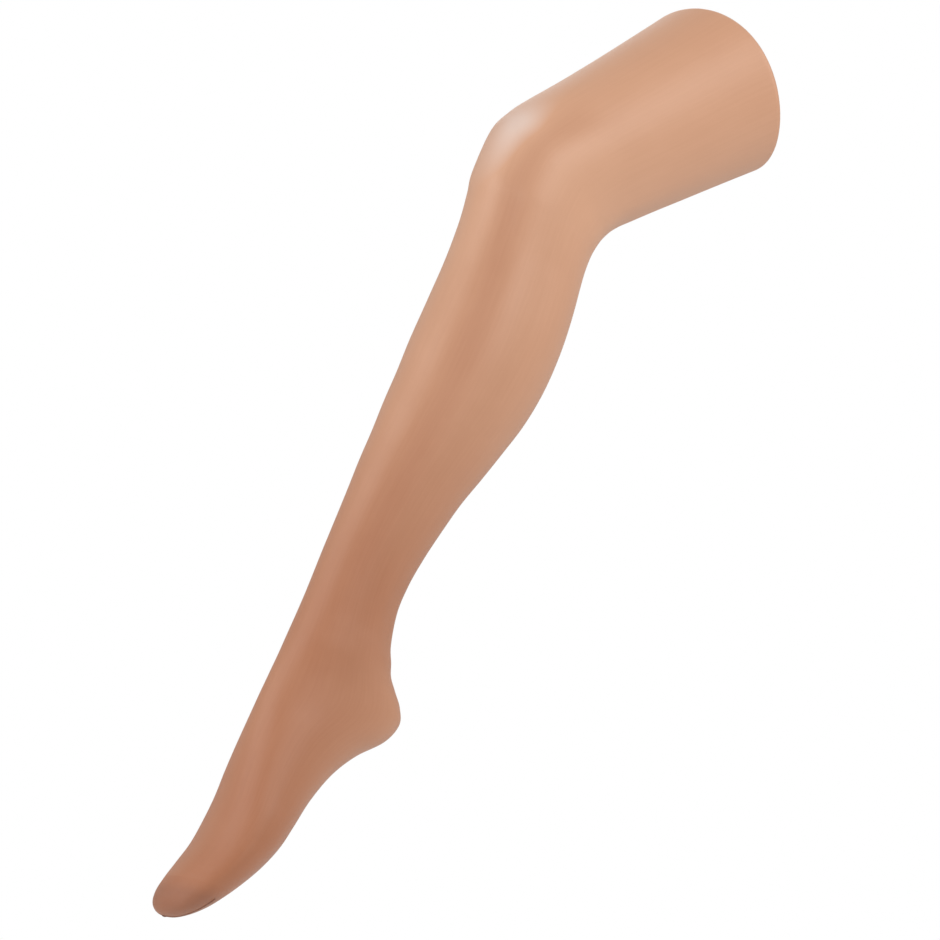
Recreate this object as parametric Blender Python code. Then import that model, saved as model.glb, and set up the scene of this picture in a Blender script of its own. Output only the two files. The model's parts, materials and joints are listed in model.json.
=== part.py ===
"""Covered modular prosthetic leg for a knee disarticulation (left side, woman's size).

Three rigid groups, each modelled in its own limb frame under one empty:
  thigh  - end-bearing socket, foam cover and the upper half of the knee
  shank  - lower half of the knee, pylon tube, alignment adapters, foam cover
  foot   - releasable ankle, carbon keel and soft foot shell
In every limb frame +Z runs up the limb, +X points to the back and -Y to the outer side.
World origin: centre of the flat face that the end of the residual limb bears on.
Lengths below are millimetres and angles are degrees until they reach a mesh or an empty.
"""
import bpy
import bmesh
import numpy as np
from math import cos, pi, radians, sin
from mathutils import Matrix, Vector

MM = 0.001

# ---- posture and main lengths -------------------------------------------------
THIGH_PITCH = 23.0          # thigh axis above the horizontal
SHANK_LEAN = 25.0           # shank axis off the vertical, toes forward
SOLE_PITCH = 43.6           # sole below the horizontal, foot pointed
KNEE_TO_ANKLE = 402.0
KNEE_TO_PAD = 74.0          # knee axis to the end-bearing face
BRIM_HEIGHT = 170.0         # knee axis to the mean brim line
BRIM_BACK_RISE = 5.0        # back of the brim above its mean, front below it
BRIM_OUTER_RISE = 20.0      # outer wall above the mean, inner wall below it
BRIM_TWIST = 5.0            # front outer quarter above the back outer one

# ---- clearances and skins -----------------------------------------------------
GAP = 0.3
STOCKING = 0.8              # solid that stands for the nylon
UNDER_STOCKING = 0.5        # air under it
JOINT_GAP = 1.0             # degrees between cover ends at an ankle limit
KNEE_PLANE_GAP = 1.2        # degrees each knee cover end stands back
FRONT_PLANE = 180.0         # cover ends meet here in front when the knee is straight
BACK_PLANE = 45.0           # and here behind when it is bent to a right angle
PAST_KNEE = 13.0            # covers are drawn this far past the knee axis, then trimmed
THIGH_LEVELS = 7            # rings along a limb
SHANK_LEVELS = 15
AROUND = 24                 # points round a limb section
MERGE = 0.004               # corners closer than this after a Boolean are one corner

# ---- sections of the finished leg: height, front, back, half width -----------
THIGH_SECTIONS = (
    (0, 53, 56, 51.5), (20, 58.5, 56.5, 53.5), (35, 61, 56.5, 55.5), (70, 64.5, 56.3, 59),
    (104, 68, 58, 62), (139, 72.4, 59.4, 64.5), (182, 77.5, 61.5, 67),
    (200, 78, 62.5, 67.5),
)
SHANK_SECTIONS = (
    (0, 47, 60, 51.5), (25, 44.4, 61.4, 51), (50, 41.9, 62.9, 50), (75, 40, 66.8, 50.5),
    (112, 40, 70.2, 52), (149, 40.4, 69.4, 51), (174, 40.2, 65.6, 48.5), (199, 40.8, 59, 45),
    (224, 40.6, 51.8, 41.5), (248, 41.1, 44.5, 38), (273, 40.8, 39, 35), (298, 40.7, 34.3, 32.5),
    (323, 40.6, 31.4, 31), (347, 40.1, 32.1, 31), (373, 39.9, 36.9, 33), (402, 40, 45, 34),
)
# foot: distance ahead of the ankle, top, bottom, half width, inward shift of the middle
FOOT_SECTIONS = (
    (-39, -22, -42, 11, 0), (-35, 0, -50, 20.5, 0), (-25, 20, -59, 27.5, 0),
    (-10, 30, -65.5, 31, 0), (10, 33, -68, 32, 0), (30, 32, -66.5, 32, 0), (50, 27, -61, 32.5, 1),
    (70, 18.5, -58.5, 34, 2), (90, 9.5, -61.5, 37, 2), (110, 0.5, -66, 40.5, 2),
    (130, -8, -68, 43, 1), (150, -14.5, -67.5, 43.5, 1), (170, -20, -65.5, 42, 1.5),
    (190, -22.5, -62.5, 38.5, 3), (205, -24, -58.5, 34, 4), (216, -26.5, -54, 28, 6),
    (224, -31, -49, 18, 8),
)
FOOT_TIP = (228.5, -39, 9)
HEEL_END = (1.5, -33.0)                 # the heel's last point: behind its first section, height
TOE_LINE = ((203, -22), (178, -66))     # where the reinforced toe starts, top and bottom

# ---- socket -------------------------------------------------------------------
SOCKET_FLOOR = 57.6
SOCKET_SHIFT = -3.0         # socket centre line ahead of the knee axis
SOCKET_WALL = 3.5
LINER_WALL = 6.0
FOAM_AT_BRIM = 9.0
SOCKET_TAPER = 9.0          # how much narrower the socket is at its floor
SOCKET_LEVELS = 5
SHELL_FLOOR = 4.7           # laminate's inner floor above its outer one
LINER_LOW = 5.0             # liner's underside and floor above the socket's floor
LINER_FLOOR = 11.5
LINER_OPENING = 26.5        # round hole in the liner's underside, over the screw heads
PAD_RISE = 11.8             # gel pad's underside above the socket's floor
SHELL_DROP = 3.0            # laminate and nylon end this far below the brim
NYLON_DROP = 1.5
FOAM_FLOOR_RADIUS = 36.0    # room in the foam for the knee head under the socket
FOAM_FLOOR_LOW = -14.0
WELT_LOW = -0.8             # the stocking's hem lies this far above the brim
WELT_TOP = -2.2
PAD_RADIUS = 31.0
PAD_EDGE = 1.0
PLATE_RADIUS = 30.0
PLATE_THICK = 6.0
PLATE_SCREW_CIRCLE = 20.0
PYRAMID_TIP = (36.0, 13.0)  # height of the socket's pyramid end and its corner radius
PYRAMID_ROOT = 9.6
VALVE_HEIGHT = 108.0
VALVE_RADIUS = 11.0
VALVE_BUTTON_RADIUS = 6.5
VALVE_SPAN = (41.0, 60.0)   # from the centre line, on the inner side
VALVE_SEAT = 48.0           # the button's well starts here
VALVE_VENT = 2.0
VALVE_BUTTON_SPAN = (52.0, 62.0)
VALVE_SIDES = 32

# ---- knee ---------------------------------------------------------------------
AXLE_RADIUS = 6.0
AXLE_SCREW_TIP = 16.5
LUG_IN = 19.0
LUG_OUT = 27.0
LUG_RADIUS = 17.0
HEAD_HALF = 20.0            # deck's half length, front to back
HEAD_DECK = 26.0            # underside of the head's deck above the axle
HEAD_TOP = 34.0
RECEIVER_RADIUS = 21.5
RECEIVER_BORE = 14.5
RECEIVER_TOP = 47.0
SET_SCREW = 3.0             # radius of the screws that grip a pyramid
SET_SCREW_HEAD = 2.99
BARREL_RADIUS = 16.5
BARREL_HALF = 18.0
BUSH_RADIUS = 9.0
BUSH_ENDS = (1.5, 18.6)
STOP_FACE = 17.0            # front of the stop's seat ahead of the axle
STOP_SPAN = (17.3, 25.4)    # rubber stop, above the axle
STOP_EDGE = 1.0
FRICTION_SCREW_HEIGHT = -24.0
KNEE_CAVITY = 40.5          # radius left free inside the foam round the knee axis
KNEE_CAVITY_HALF = 42.0
KNEE_PAD_RADIUS = 38.8
KNEE_PAD_THICK = 5.5
KNEE_PAD_HALF = 34.0
KNEE_PAD_ARC = (-50.0, 24.0)  # degrees from the front of the knee, down and up
BALL_HALF = 47.5            # the knee ball would close at this half width

# ---- pylon --------------------------------------------------------------------
TUBE_RADIUS = 15.0
TUBE_BORE = 13.0
TUBE_TOP = -31.0
TUBE_END = -352.0
CLAMP_RADIUS = 19.0
UPPER_CLAMP = (-64.0, -18.5, -54.0)   # low end, high end, pinch bolt
LOWER_CLAMP = (-373.0, -322.0, -332.0)
ADAPTER_SCREWS = -364.5
EAR_DEPTH = 9.0             # pinch-bolt ears beyond the clamp, half thickness, half height
EAR_HALF = 8.0
EAR_HEIGHT = 5.0
SLIT_HALF = 1.0
PINCH_RADIUS = 2.5
PINCH_SPAN = (12.5, -9.0)
PYLON_CHANNEL = 21.5
CLAMP_CHANNEL = 30.5        # wider room in the foam round the upper clamp
CLAMP_CHANNEL_END = -72.0

# ---- ankle and foot -----------------------------------------------------------
PIN_RADIUS = 5.0
PIN_END = 21.5
PIN_EDGE = 0.6
FORK_TOP = -375.0
CHEEK_RADIUS = 12.0
CHEEK_IN = 14.0
CHEEK_OUT = 20.5
BLOCK_RADIUS = 11.0
BLOCK_HALF = 13.6
BLOCK_BASE = ((-21.0, 16.0), (-17.0, 17.0), (-36.0, -29.0))
ANKLE_BUSH = 7.5
ANKLE_BUTTON_HEIGHT = -18.5
ANKLE_BUTTON_RADIUS = 4.5
ANKLE_BUTTON_SPAN = (9.0, 20.0)
ANKLE_CAVITY = 25.5
ANKLE_CAVITY_HALF = 24.5
FRONT_TRIM = 30.0           # foam ends at these angles round the ankle axis
BACK_TRIM = 30.0
KEEL_HALF = 17.0
KEEL_THICK = 5.0
CUSHION_HALF = 10.0
POCKET_ROOM = 0.4           # room in the foot shell round the keel and the cushion
CUSHION_FLOOR = -52.0
BOLT_RADIUS = 5.0
BOLT_SPAN = (-48.0, -23.0)
SEAM_RADIUS = 0.9
SEAM_RUN = (200.0, 223.5)   # ahead of the ankle, along each side of the toes
SEAM_TURN = 0.62 * pi       # round the foot from its top
SEAM_BELOW_TIP = 6.0
FOOT_ROOM = (-300.0, 120.0, -100.0, 40.0)   # block round the foot: toes, heel, below, above


# ------------------------------------------------------------------ scene helpers
def clear_scene():
    for thing in list(bpy.data.objects):
        bpy.data.objects.remove(thing, do_unlink=True)


def material(name, colour, roughness, metallic=0.0):
    made = bpy.data.materials.new(name)
    made.use_nodes = True
    shader = made.node_tree.nodes["Principled BSDF"]
    shader.inputs["Base Color"].default_value = (*colour, 1.0)
    shader.inputs["Roughness"].default_value = roughness
    shader.inputs["Metallic"].default_value = metallic
    return made


def limb_frame(name, at, turn):
    """Empty on a joint axis; turn is the rotation about +Y in degrees."""
    empty = bpy.data.objects.new(name, None)
    bpy.context.scene.collection.objects.link(empty)
    empty.matrix_world = Matrix.Translation(at * MM) @ Matrix.Rotation(radians(turn), 4, "Y")
    return empty


def solid(name, shape, frame, look):
    """Object from (vertices in mm, faces) in a limb frame."""
    verts, faces = shape
    mesh = bpy.data.meshes.new(name)
    mesh.from_pydata([tuple(MM * c for c in v) for v in verts], [], faces)
    work = bmesh.new()
    work.from_mesh(mesh)
    bmesh.ops.recalc_face_normals(work, faces=work.faces)
    work.to_mesh(mesh)
    work.free()
    mesh.materials.append(look)
    made = bpy.data.objects.new(name, mesh)
    bpy.context.scene.collection.objects.link(made)
    made.parent = frame
    return made


def combine(target, shape, operation):
    """Apply one EXACT Boolean with a throw-away tool shape in the target's frame."""
    tool = solid("tool", shape, target.parent, target.data.materials[0])
    step = target.modifiers.new("combine", "BOOLEAN")
    step.operation = operation
    step.solver = "EXACT"
    step.object = tool
    graph = bpy.context.evaluated_depsgraph_get()
    result = bpy.data.meshes.new_from_object(target.evaluated_get(graph), depsgraph=graph)
    target.modifiers.clear()
    spent = target.data
    target.data = result
    result.name = target.name
    tidy = bmesh.new()
    tidy.from_mesh(result)
    bmesh.ops.remove_doubles(tidy, verts=tidy.verts, dist=MERGE * MM)
    bmesh.ops.dissolve_degenerate(tidy, edges=tidy.edges, dist=MERGE * MM)
    tidy.to_mesh(result)
    tidy.free()
    bpy.data.meshes.remove(spent)
    bpy.data.objects.remove(tool, do_unlink=True)


def cut(target, *shapes):
    for shape in shapes:
        combine(target, shape, "DIFFERENCE")


def add(target, *shapes):
    for shape in shapes:
        combine(target, shape, "UNION")


def smooth(made, angle=35.0):
    made.data.shade_smooth()
    made.data.set_sharp_from_angle(angle=radians(angle))


# ------------------------------------------------------------------ plain shapes
def box(x, y, z):
    """x, y and z are (low, high) pairs."""
    verts = [(x[i], y[j], z[k]) for i in (0, 1) for j in (0, 1) for k in (0, 1)]
    faces = [(0, 1, 3, 2), (4, 6, 7, 5), (0, 4, 5, 1), (2, 3, 7, 6), (0, 2, 6, 4), (1, 5, 7, 3)]
    return verts, faces


def turned(axis, profile, at=(0.0, 0.0, 0.0), sides=20, phase=0.0):
    """Solid of revolution: profile is (distance along axis, radius), both ends on the axis."""
    along = {"X": (1, 2, 0), "Y": (2, 0, 1), "Z": (0, 1, 2)}[axis]
    verts = []
    for height, radius in profile[1:-1]:
        for k in range(sides):
            turn = 2 * pi * (k + phase) / sides
            point = [0.0, 0.0, 0.0]
            point[along[0]] = radius * cos(turn)
            point[along[1]] = radius * sin(turn)
            point[along[2]] = height
            verts.append(tuple(p + o for p, o in zip(point, at)))
    rings = len(profile) - 2
    faces = [(r * sides + k, r * sides + (k + 1) % sides, (r + 1) * sides + (k + 1) % sides,
              (r + 1) * sides + k) for r in range(rings - 1) for k in range(sides)]
    faces.append(tuple(range(sides))[::-1])
    faces.append(tuple((rings - 1) * sides + k for k in range(sides)))
    return verts, faces


def rod(axis, radius, low, high, at=(0.0, 0.0, 0.0), sides=20, phase=0.0):
    return turned(axis, ((low, 0), (low, radius), (high, radius), (high, 0)), at, sides, phase)


def tube(axis, outer, inner, low, high, at=(0.0, 0.0, 0.0), sides=20):
    """Ring with a through hole, as four rings of points."""
    verts, faces = turned(axis, ((0, 0), (low, inner), (low, outer), (high, outer), (high, inner),
                                 (0, 0)), at, sides)
    faces = faces[:-2]
    faces += [(3 * sides + k, 3 * sides + (k + 1) % sides, (k + 1) % sides, k) for k in range(sides)]
    return verts, faces


def plate(outline, low, high):
    """Outline of (x, z) points carried along Y from low to high."""
    count = len(outline)
    verts = [(x, y, z) for y in (low, high) for x, z in outline]
    faces = [tuple(range(count)), tuple(range(2 * count - 1, count - 1, -1))]
    faces += [(k, (k + 1) % count, count + (k + 1) % count, count + k) for k in range(count)]
    return verts, faces


def arc(radius, start, stop, steps, centre=(0.0, 0.0)):
    """(x, z) points on a circle; 0 degrees points to the back and 90 up the limb."""
    return [(centre[0] + radius * cos(radians(a)), centre[1] + radius * sin(radians(a)))
            for a in np.linspace(start, stop, steps)]


def socket_screw(name, frame, look, axis, head_at, point_at, radius, place, head=None):
    """Cap screw along an axis; its head has a hexagon socket."""
    head_radius = head or 1.6 * radius
    way = 1.0 if point_at > head_at else -1.0
    seat = head_at + way * 1.2 * radius
    profile = ((head_at, 0), (head_at, head_radius), (seat, head_radius), (seat, radius),
               (point_at, radius), (point_at, 0))
    made = solid(name, turned(axis, profile, place, 12), frame, look)
    low, high = sorted((head_at - way * 1.0, head_at + way * 0.8 * radius))
    cut(made, rod(axis, 0.55 * head_radius, low, high, place, 6))
    smooth(made)
    return made


# ------------------------------------------------------------------ limb surfaces
def between(where, rows, column):
    """Smooth curve through the table's rows: cubic Hermite with centred slopes."""
    xs = np.array([r[0] for r in rows], float)
    ys = np.array([r[column] for r in rows], float)
    slopes = np.gradient(ys, xs)
    where = np.clip(where, xs[0], xs[-1])
    k = np.clip(np.searchsorted(xs, where) - 1, 0, len(xs) - 2)
    span = xs[k + 1] - xs[k]
    t = (where - xs[k]) / span
    return ((2 * t**3 - 3 * t**2 + 1) * ys[k] + (t**3 - 2 * t**2 + t) * span * slopes[k]
            + (3 * t**2 - 2 * t**3) * ys[k + 1] + (t**3 - t**2) * span * slopes[k + 1])


def grid_faces(rows, columns, first=0):
    return [(first + r * columns + k, first + r * columns + (k + 1) % columns,
             first + (r + 1) * columns + (k + 1) % columns, first + (r + 1) * columns + k)
            for r in range(rows - 1) for k in range(columns)]


def section(front, back, half, height, turn):
    """Ellipse through the front and the back of a limb; turn 0 is front, pi/2 the outer side."""
    middle = (back - front) / 2
    depth = (back + front) / 2
    return np.stack([middle - depth * np.cos(turn), -half * np.sin(turn), height + 0 * turn], -1)


def round_turns():
    return np.arange(AROUND) * 2 * pi / AROUND


def brim(turn):
    return (BRIM_HEIGHT - BRIM_BACK_RISE * np.cos(turn) + BRIM_OUTER_RISE * np.sin(turn)
            + BRIM_TWIST * np.sin(2 * turn))


def thigh_rings(inset, low, levels, drop=0.0, taper=0.0):
    """Rings from height low to a drop under the brim, inset from the finished surface; a taper
    narrows them evenly towards the socket's floor."""
    turn = round_turns()
    rings = []
    for share in np.linspace(0, 1, levels):
        height = low + (brim(turn) - drop - low) * share
        thin = inset + taper * (BRIM_HEIGHT - height) / (BRIM_HEIGHT - SOCKET_FLOOR)
        rings.append(section(between(height, THIGH_SECTIONS, 1) - thin,
                             between(height, THIGH_SECTIONS, 2) - thin,
                             between(height, THIGH_SECTIONS, 3) - thin, height, turn))
    return rings


def shank_rings(inset, low, high, levels):
    turn = round_turns()
    rings = []
    for down in np.linspace(high, low, levels):
        rings.append(section(between(down, SHANK_SECTIONS, 1) - inset,
                             between(down, SHANK_SECTIONS, 2) - inset,
                             between(down, SHANK_SECTIONS, 3) - inset, -down, turn))
    return rings


def foot_point(ahead, turn, inset):
    """Point of the foot; turn 0 is the top and pi/2 the outer side."""
    top = between(ahead, FOOT_SECTIONS, 1) - inset
    bottom = between(ahead, FOOT_SECTIONS, 2) + inset
    half = between(ahead, FOOT_SECTIONS, 3) - inset
    shift = between(ahead, FOOT_SECTIONS, 4)
    side = shift - half * np.sin(turn)
    height = (top + bottom) / 2 + (top - bottom) / 2 * np.cos(turn)
    return np.stack([-ahead + 0 * turn, side, height], -1)


def foot_rings(inset):
    turn = round_turns()
    rings = []
    for row in FOOT_SECTIONS:
        ring = foot_point(np.full(AROUND, float(row[0])), turn, inset)
        rings.append(ring)
    rings[0][:, 0] -= inset
    rings[-1][:, 0] += inset
    heel = np.array([[-FOOT_SECTIONS[0][0] + HEEL_END[0] - inset, 0, HEEL_END[1]]])
    tip = np.array([[-FOOT_TIP[0] + inset, FOOT_TIP[2], FOOT_TIP[1]]])
    return heel, rings, tip


def closed_loft(rings):
    """Rings joined and closed with a flat or gently warped cap at each end."""
    verts = [tuple(p) for ring in rings for p in ring]
    faces = grid_faces(len(rings), AROUND)
    last = (len(rings) - 1) * AROUND
    middle_low = len(verts)
    verts.append(tuple(np.mean(rings[0], axis=0)))
    verts.append(tuple(np.mean(rings[-1], axis=0)))
    for k in range(AROUND):
        faces.append((middle_low, (k + 1) % AROUND, k))
        faces.append((middle_low + 1, last + k, last + (k + 1) % AROUND))
    return verts, faces


def sleeve(outer, inner):
    """Tube wall between two stacks of rings, open at both ends."""
    verts = [tuple(p) for ring in outer + inner[::-1] for p in ring]
    rows = len(outer) + len(inner)
    faces = grid_faces(rows, AROUND)
    last = (rows - 1) * AROUND
    faces += [(last + k, last + (k + 1) % AROUND, (k + 1) % AROUND, k) for k in range(AROUND)]
    return verts, faces


def cup(outer, inner):
    """Like a sleeve, but each wall is closed across its low end."""
    verts = [tuple(p) for ring in outer + inner[::-1] for p in ring]
    rows = len(outer) + len(inner)
    faces = grid_faces(rows, AROUND)
    for ring, first in ((outer[0], 0), (inner[0], (rows - 1) * AROUND)):
        middle = len(verts)
        verts.append(tuple(np.mean(ring, axis=0)))
        faces += [(middle, first + (k + 1) % AROUND, first + k) for k in range(AROUND)]
    return verts, faces


def foot_skin(inset):
    heel, rings, tip = foot_rings(inset)
    verts = [tuple(p) for ring in rings for p in ring] + [tuple(heel[0]), tuple(tip[0])]
    faces = grid_faces(len(rings), AROUND)
    last = (len(rings) - 1) * AROUND
    heel_at = len(verts) - 2
    for k in range(AROUND):
        faces.append((heel_at, (k + 1) % AROUND, k))
        faces.append((heel_at + 1, last + k, last + (k + 1) % AROUND))
    return verts, faces


def wedge(front_angle, back_angle, reach=260.0, half=90.0):
    """Prism between two half planes that start on the joint axis, at angles counted from the back
    (+X) towards the top; it ends the foam at a joint."""
    turns = np.linspace(back_angle, front_angle, 9)
    fan = [(reach * cos(radians(a)), reach * sin(radians(a))) for a in turns]
    return plate([(0.0, 0.0)] + fan, -half, half)


AXIS_RELIEF = rod("Y", 2.0, -90.0, 90.0, sides=8)   # keeps two cover ends off each other's corner


# ------------------------------------------------------------------ thigh
VALVE_AT = (SOCKET_SHIFT, 0.0, VALVE_HEIGHT)


def valve_bore(radius, start=VALVE_SPAN[0] - 7.0):
    """Cylinder on the valve's axis, out through the thigh's inner side."""
    return rod("Y", radius, start, VALVE_SPAN[1] + 20.0, VALVE_AT, VALVE_SIDES)


def socket_wall(inset, rise, drop=0.0):
    """Rings of one face of the socket, from a height above its floor up to the brim."""
    return thigh_rings(inset, SOCKET_FLOOR + rise, SOCKET_LEVELS, drop, SOCKET_TAPER)


def build_thigh(frame, looks):
    inner_from = FOAM_AT_BRIM + GAP
    socket_in = inner_from + SOCKET_WALL
    liner_out = socket_in + GAP
    liner_in = liner_out + LINER_WALL
    foam_inset = STOCKING + UNDER_STOCKING

    # the foam and the nylon stop at the straight-knee plane in front and at the
    # right-angle plane behind, so that the knee can reach both of its limits
    trim = wedge(FRONT_PLANE - KNEE_PLANE_GAP, 360.0 + BACK_PLANE + KNEE_PLANE_GAP)
    foam = solid("cover_thigh", sleeve(thigh_rings(foam_inset, -PAST_KNEE, THIGH_LEVELS),
                                       thigh_rings(FOAM_AT_BRIM, -PAST_KNEE, THIGH_LEVELS, 0.0,
                                                   SOCKET_TAPER)), frame, looks["foam"])
    cut(foam, knee_ball(KNEE_CAVITY, KNEE_CAVITY_HALF),
        rod("Z", FOAM_FLOOR_RADIUS, FOAM_FLOOR_LOW, SOCKET_FLOOR - 3.0))
    cut(foam, trim, AXIS_RELIEF)

    walls = [thigh_rings(inset, -PAST_KNEE, THIGH_LEVELS, NYLON_DROP) for inset in (0.0, STOCKING)]
    nylon = solid("stocking_thigh", sleeve(*walls), frame, looks["nylon"])
    cut(nylon, trim, AXIS_RELIEF)

    shell = solid("socket_shell", cup(socket_wall(inner_from, 0.0, SHELL_DROP),
                                      socket_wall(socket_in, SHELL_FLOOR, SHELL_DROP)), frame,
                  looks["laminate"])
    liner = solid("socket_liner", cup(socket_wall(liner_out, LINER_LOW),
                                      socket_wall(liner_in, LINER_FLOOR)), frame, looks["liner"])
    cut(liner, rod("Z", LINER_OPENING, SOCKET_FLOOR, SOCKET_FLOOR + LINER_LOW + 4.0, sides=24))
    pad_low = SOCKET_FLOOR + PAD_RISE
    pad = solid("end_pad", turned("Z", ((pad_low, 0), (pad_low, PAD_RADIUS - PAD_EDGE),
                                        (pad_low + PAD_EDGE, PAD_RADIUS),
                                        (KNEE_TO_PAD - PAD_EDGE, PAD_RADIUS),
                                        (KNEE_TO_PAD, PAD_RADIUS - PAD_EDGE), (KNEE_TO_PAD, 0)),
                                  (SOCKET_SHIFT, 0, 0), 28), frame, looks["pad"])
    smooth(pad)

    corners = ((0.0, WELT_LOW), (0.6, WELT_TOP),
               (FOAM_AT_BRIM - 0.4, WELT_LOW), (FOAM_AT_BRIM - 1.0, WELT_TOP))
    rings = [thigh_rings(inset, -PAST_KNEE, THIGH_LEVELS, drop)[-1] for inset, drop in corners]
    welt = solid("stocking_welt", sleeve(rings[:2], rings[2:]), frame, looks["nylon"])
    for made in (foam, nylon, shell, liner, welt):
        smooth(made)

    for made, room in ((foam, 3.0), (nylon, 4.0), (shell, GAP), (liner, GAP)):
        cut(made, valve_bore(VALVE_RADIUS + room))
    low, high = VALVE_SPAN
    profile = ((low, 0), (low, VALVE_RADIUS - 1.0), (low + 1.0, VALVE_RADIUS),
               (high - 2.0, VALVE_RADIUS), (high, VALVE_RADIUS - 1.5), (high, 0))
    body = solid("valve_body", turned("Y", profile, VALVE_AT, VALVE_SIDES), frame, looks["plastic"])
    cut(body, valve_bore(VALVE_BUTTON_RADIUS + GAP, VALVE_SEAT), valve_bore(VALVE_VENT))
    smooth(body)


def build_valve_button(frame, looks):
    low, high = VALVE_BUTTON_SPAN
    profile = ((low, 0), (low, VALVE_BUTTON_RADIUS), (high - 0.8, VALVE_BUTTON_RADIUS),
               (high, VALVE_BUTTON_RADIUS - 1.0), (high, 0))
    smooth(solid("valve_button", turned("Y", profile, VALVE_AT, VALVE_SIDES), frame, looks["button"]))


def knee_ball(radius, half):
    """Ellipsoid turned about the knee axis, cut flat at the given half width."""
    last = np.arcsin(half / BALL_HALF)
    rows = [(BALL_HALF * sin(a), radius * cos(a)) for a in np.linspace(-last, last, 9)]
    return turned("Y", [(-half, 0.0)] + rows + [(half, 0.0)], sides=32)


def set_screws(name, made, frame, looks, height, head_at, tip_at):
    """Four screws round a limb axis that grip the pyramid inside, with their holes."""
    for k, (axis, way) in enumerate((("X", 1), ("Y", 1), ("X", -1), ("Y", -1))):
        low, high = sorted((way * (tip_at + 0.8), way * (head_at + 4.0)))
        cut(made, rod(axis, SET_SCREW + GAP, low, high, (0, 0, height), 12))
        socket_screw("%s_%d" % (name, k + 1), frame, looks["steel"], axis, way * head_at,
                     way * tip_at, SET_SCREW, (0, 0, height), head=SET_SCREW_HEAD)


def build_knee_head(frame, looks):
    """Deck, two lugs round the axle and the ring that receives the pyramid."""
    lug_top = HEAD_DECK + 1.0
    lug = arc(LUG_RADIUS, -180, 0, 13) + [(HEAD_HALF - 2.0, lug_top), (2.0 - HEAD_HALF, lug_top)]
    deck = box((-HEAD_HALF, HEAD_HALF), (-LUG_OUT, LUG_OUT), (HEAD_DECK, HEAD_TOP))
    head = solid("knee_head", deck, frame, looks["aluminium"])
    for low in (-LUG_OUT, LUG_IN):
        add(head, plate(lug, low, low + LUG_OUT - LUG_IN))
    add(head, rod("Z", RECEIVER_RADIUS, HEAD_TOP - 2.0, RECEIVER_TOP, sides=24))
    cut(head, rod("Z", RECEIVER_BORE, HEAD_DECK - 4.0, RECEIVER_TOP + 1.0, sides=24))
    cut(head, rod("Y", AXLE_RADIUS + GAP, -LUG_OUT - 5.0, LUG_OUT + 5.0, sides=20))
    set_screws("receiver_screw", head, frame, looks, (HEAD_TOP + RECEIVER_TOP) / 2,
               RECEIVER_RADIUS + 0.8, 11.2)
    smooth(head)

    axle = solid("knee_axle", rod("Y", AXLE_RADIUS, -LUG_OUT, LUG_OUT, sides=20), frame,
                 looks["steel"])
    for name, way in (("axle_screw_outer", -1), ("axle_screw_inner", 1)):
        low, high = sorted((way * (AXLE_SCREW_TIP - 1.5), way * (LUG_OUT + 5.0)))
        cut(axle, rod("Y", SET_SCREW + GAP, low, high, sides=12))
        socket_screw(name, frame, looks["steel"], "Y", way * (LUG_OUT + 4.2), way * AXLE_SCREW_TIP,
                     SET_SCREW, (0, 0, 0), head=1.5 * AXLE_RADIUS)
    smooth(axle)


def build_socket_plate(frame, looks):
    """Disc under the socket floor with the male pyramid that the knee's receiver grips."""
    top = SOCKET_FLOOR - GAP
    deck = top - PLATE_THICK
    made = solid("socket_plate", rod("Z", PLATE_RADIUS, deck, top, sides=28), frame,
                 looks["aluminium"])
    tip, corner = PYRAMID_TIP
    add(made, turned("Z", ((tip, 0), (tip, corner), (deck + 1.0, PYRAMID_ROOT), (deck + 1.0, 0)),
                     sides=4, phase=0.5))
    shell = bpy.data.objects["socket_shell"]
    for k in range(4):
        turn = pi / 4 + k * pi / 2
        place = (PLATE_SCREW_CIRCLE * cos(turn), PLATE_SCREW_CIRCLE * sin(turn), 0.0)
        hole = rod("Z", SET_SCREW + GAP, deck - 2.0, SOCKET_FLOOR + SHELL_FLOOR + GAP, place, 12)
        cut(made, hole)
        cut(shell, hole)
        socket_screw("plate_screw_%d" % (k + 1), frame, looks["steel"], "Z",
                     SOCKET_FLOOR + SHELL_FLOOR + 3.9, deck + 0.5, SET_SCREW, place)
    smooth(made)


def build_knee_pad(frame, looks):
    """Foam sector that fills the front of the knee between the two covers."""
    low, high = KNEE_PAD_ARC
    made = solid("knee_cap_pad", knee_ball(KNEE_PAD_RADIUS, KNEE_PAD_HALF), frame, looks["foam"])
    cut(made, knee_ball(KNEE_PAD_RADIUS - KNEE_PAD_THICK, KNEE_PAD_HALF + 2.0))
    cut(made, wedge(180.0 - high, -180.0 - low))
    smooth(made)


# ------------------------------------------------------------------ shank
def split_clamp(name, made, frame, looks, slit, height, way):
    """Slit, ears and pinch bolt of a tube clamp, at its back (way 1) or its front (way -1)."""
    bolt = (way * (CLAMP_RADIUS + 4.0), 0.0, height)
    ears = sorted((way * (CLAMP_RADIUS - 4.0), way * (CLAMP_RADIUS + EAR_DEPTH)))
    gap = sorted((way * (TUBE_RADIUS - 3.0), way * (CLAMP_RADIUS + EAR_DEPTH + 3.0)))
    add(made, box(ears, (-EAR_HALF, EAR_HALF), (height - EAR_HEIGHT, height + EAR_HEIGHT)))
    cut(made, box(gap, (-SLIT_HALF, SLIT_HALF), slit))
    cut(made, rod("Y", PINCH_RADIUS + GAP, -20.0, 20.0, bolt, 12))
    socket_screw(name, frame, looks["steel"], "Y", *PINCH_SPAN, PINCH_RADIUS, bolt)


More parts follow.
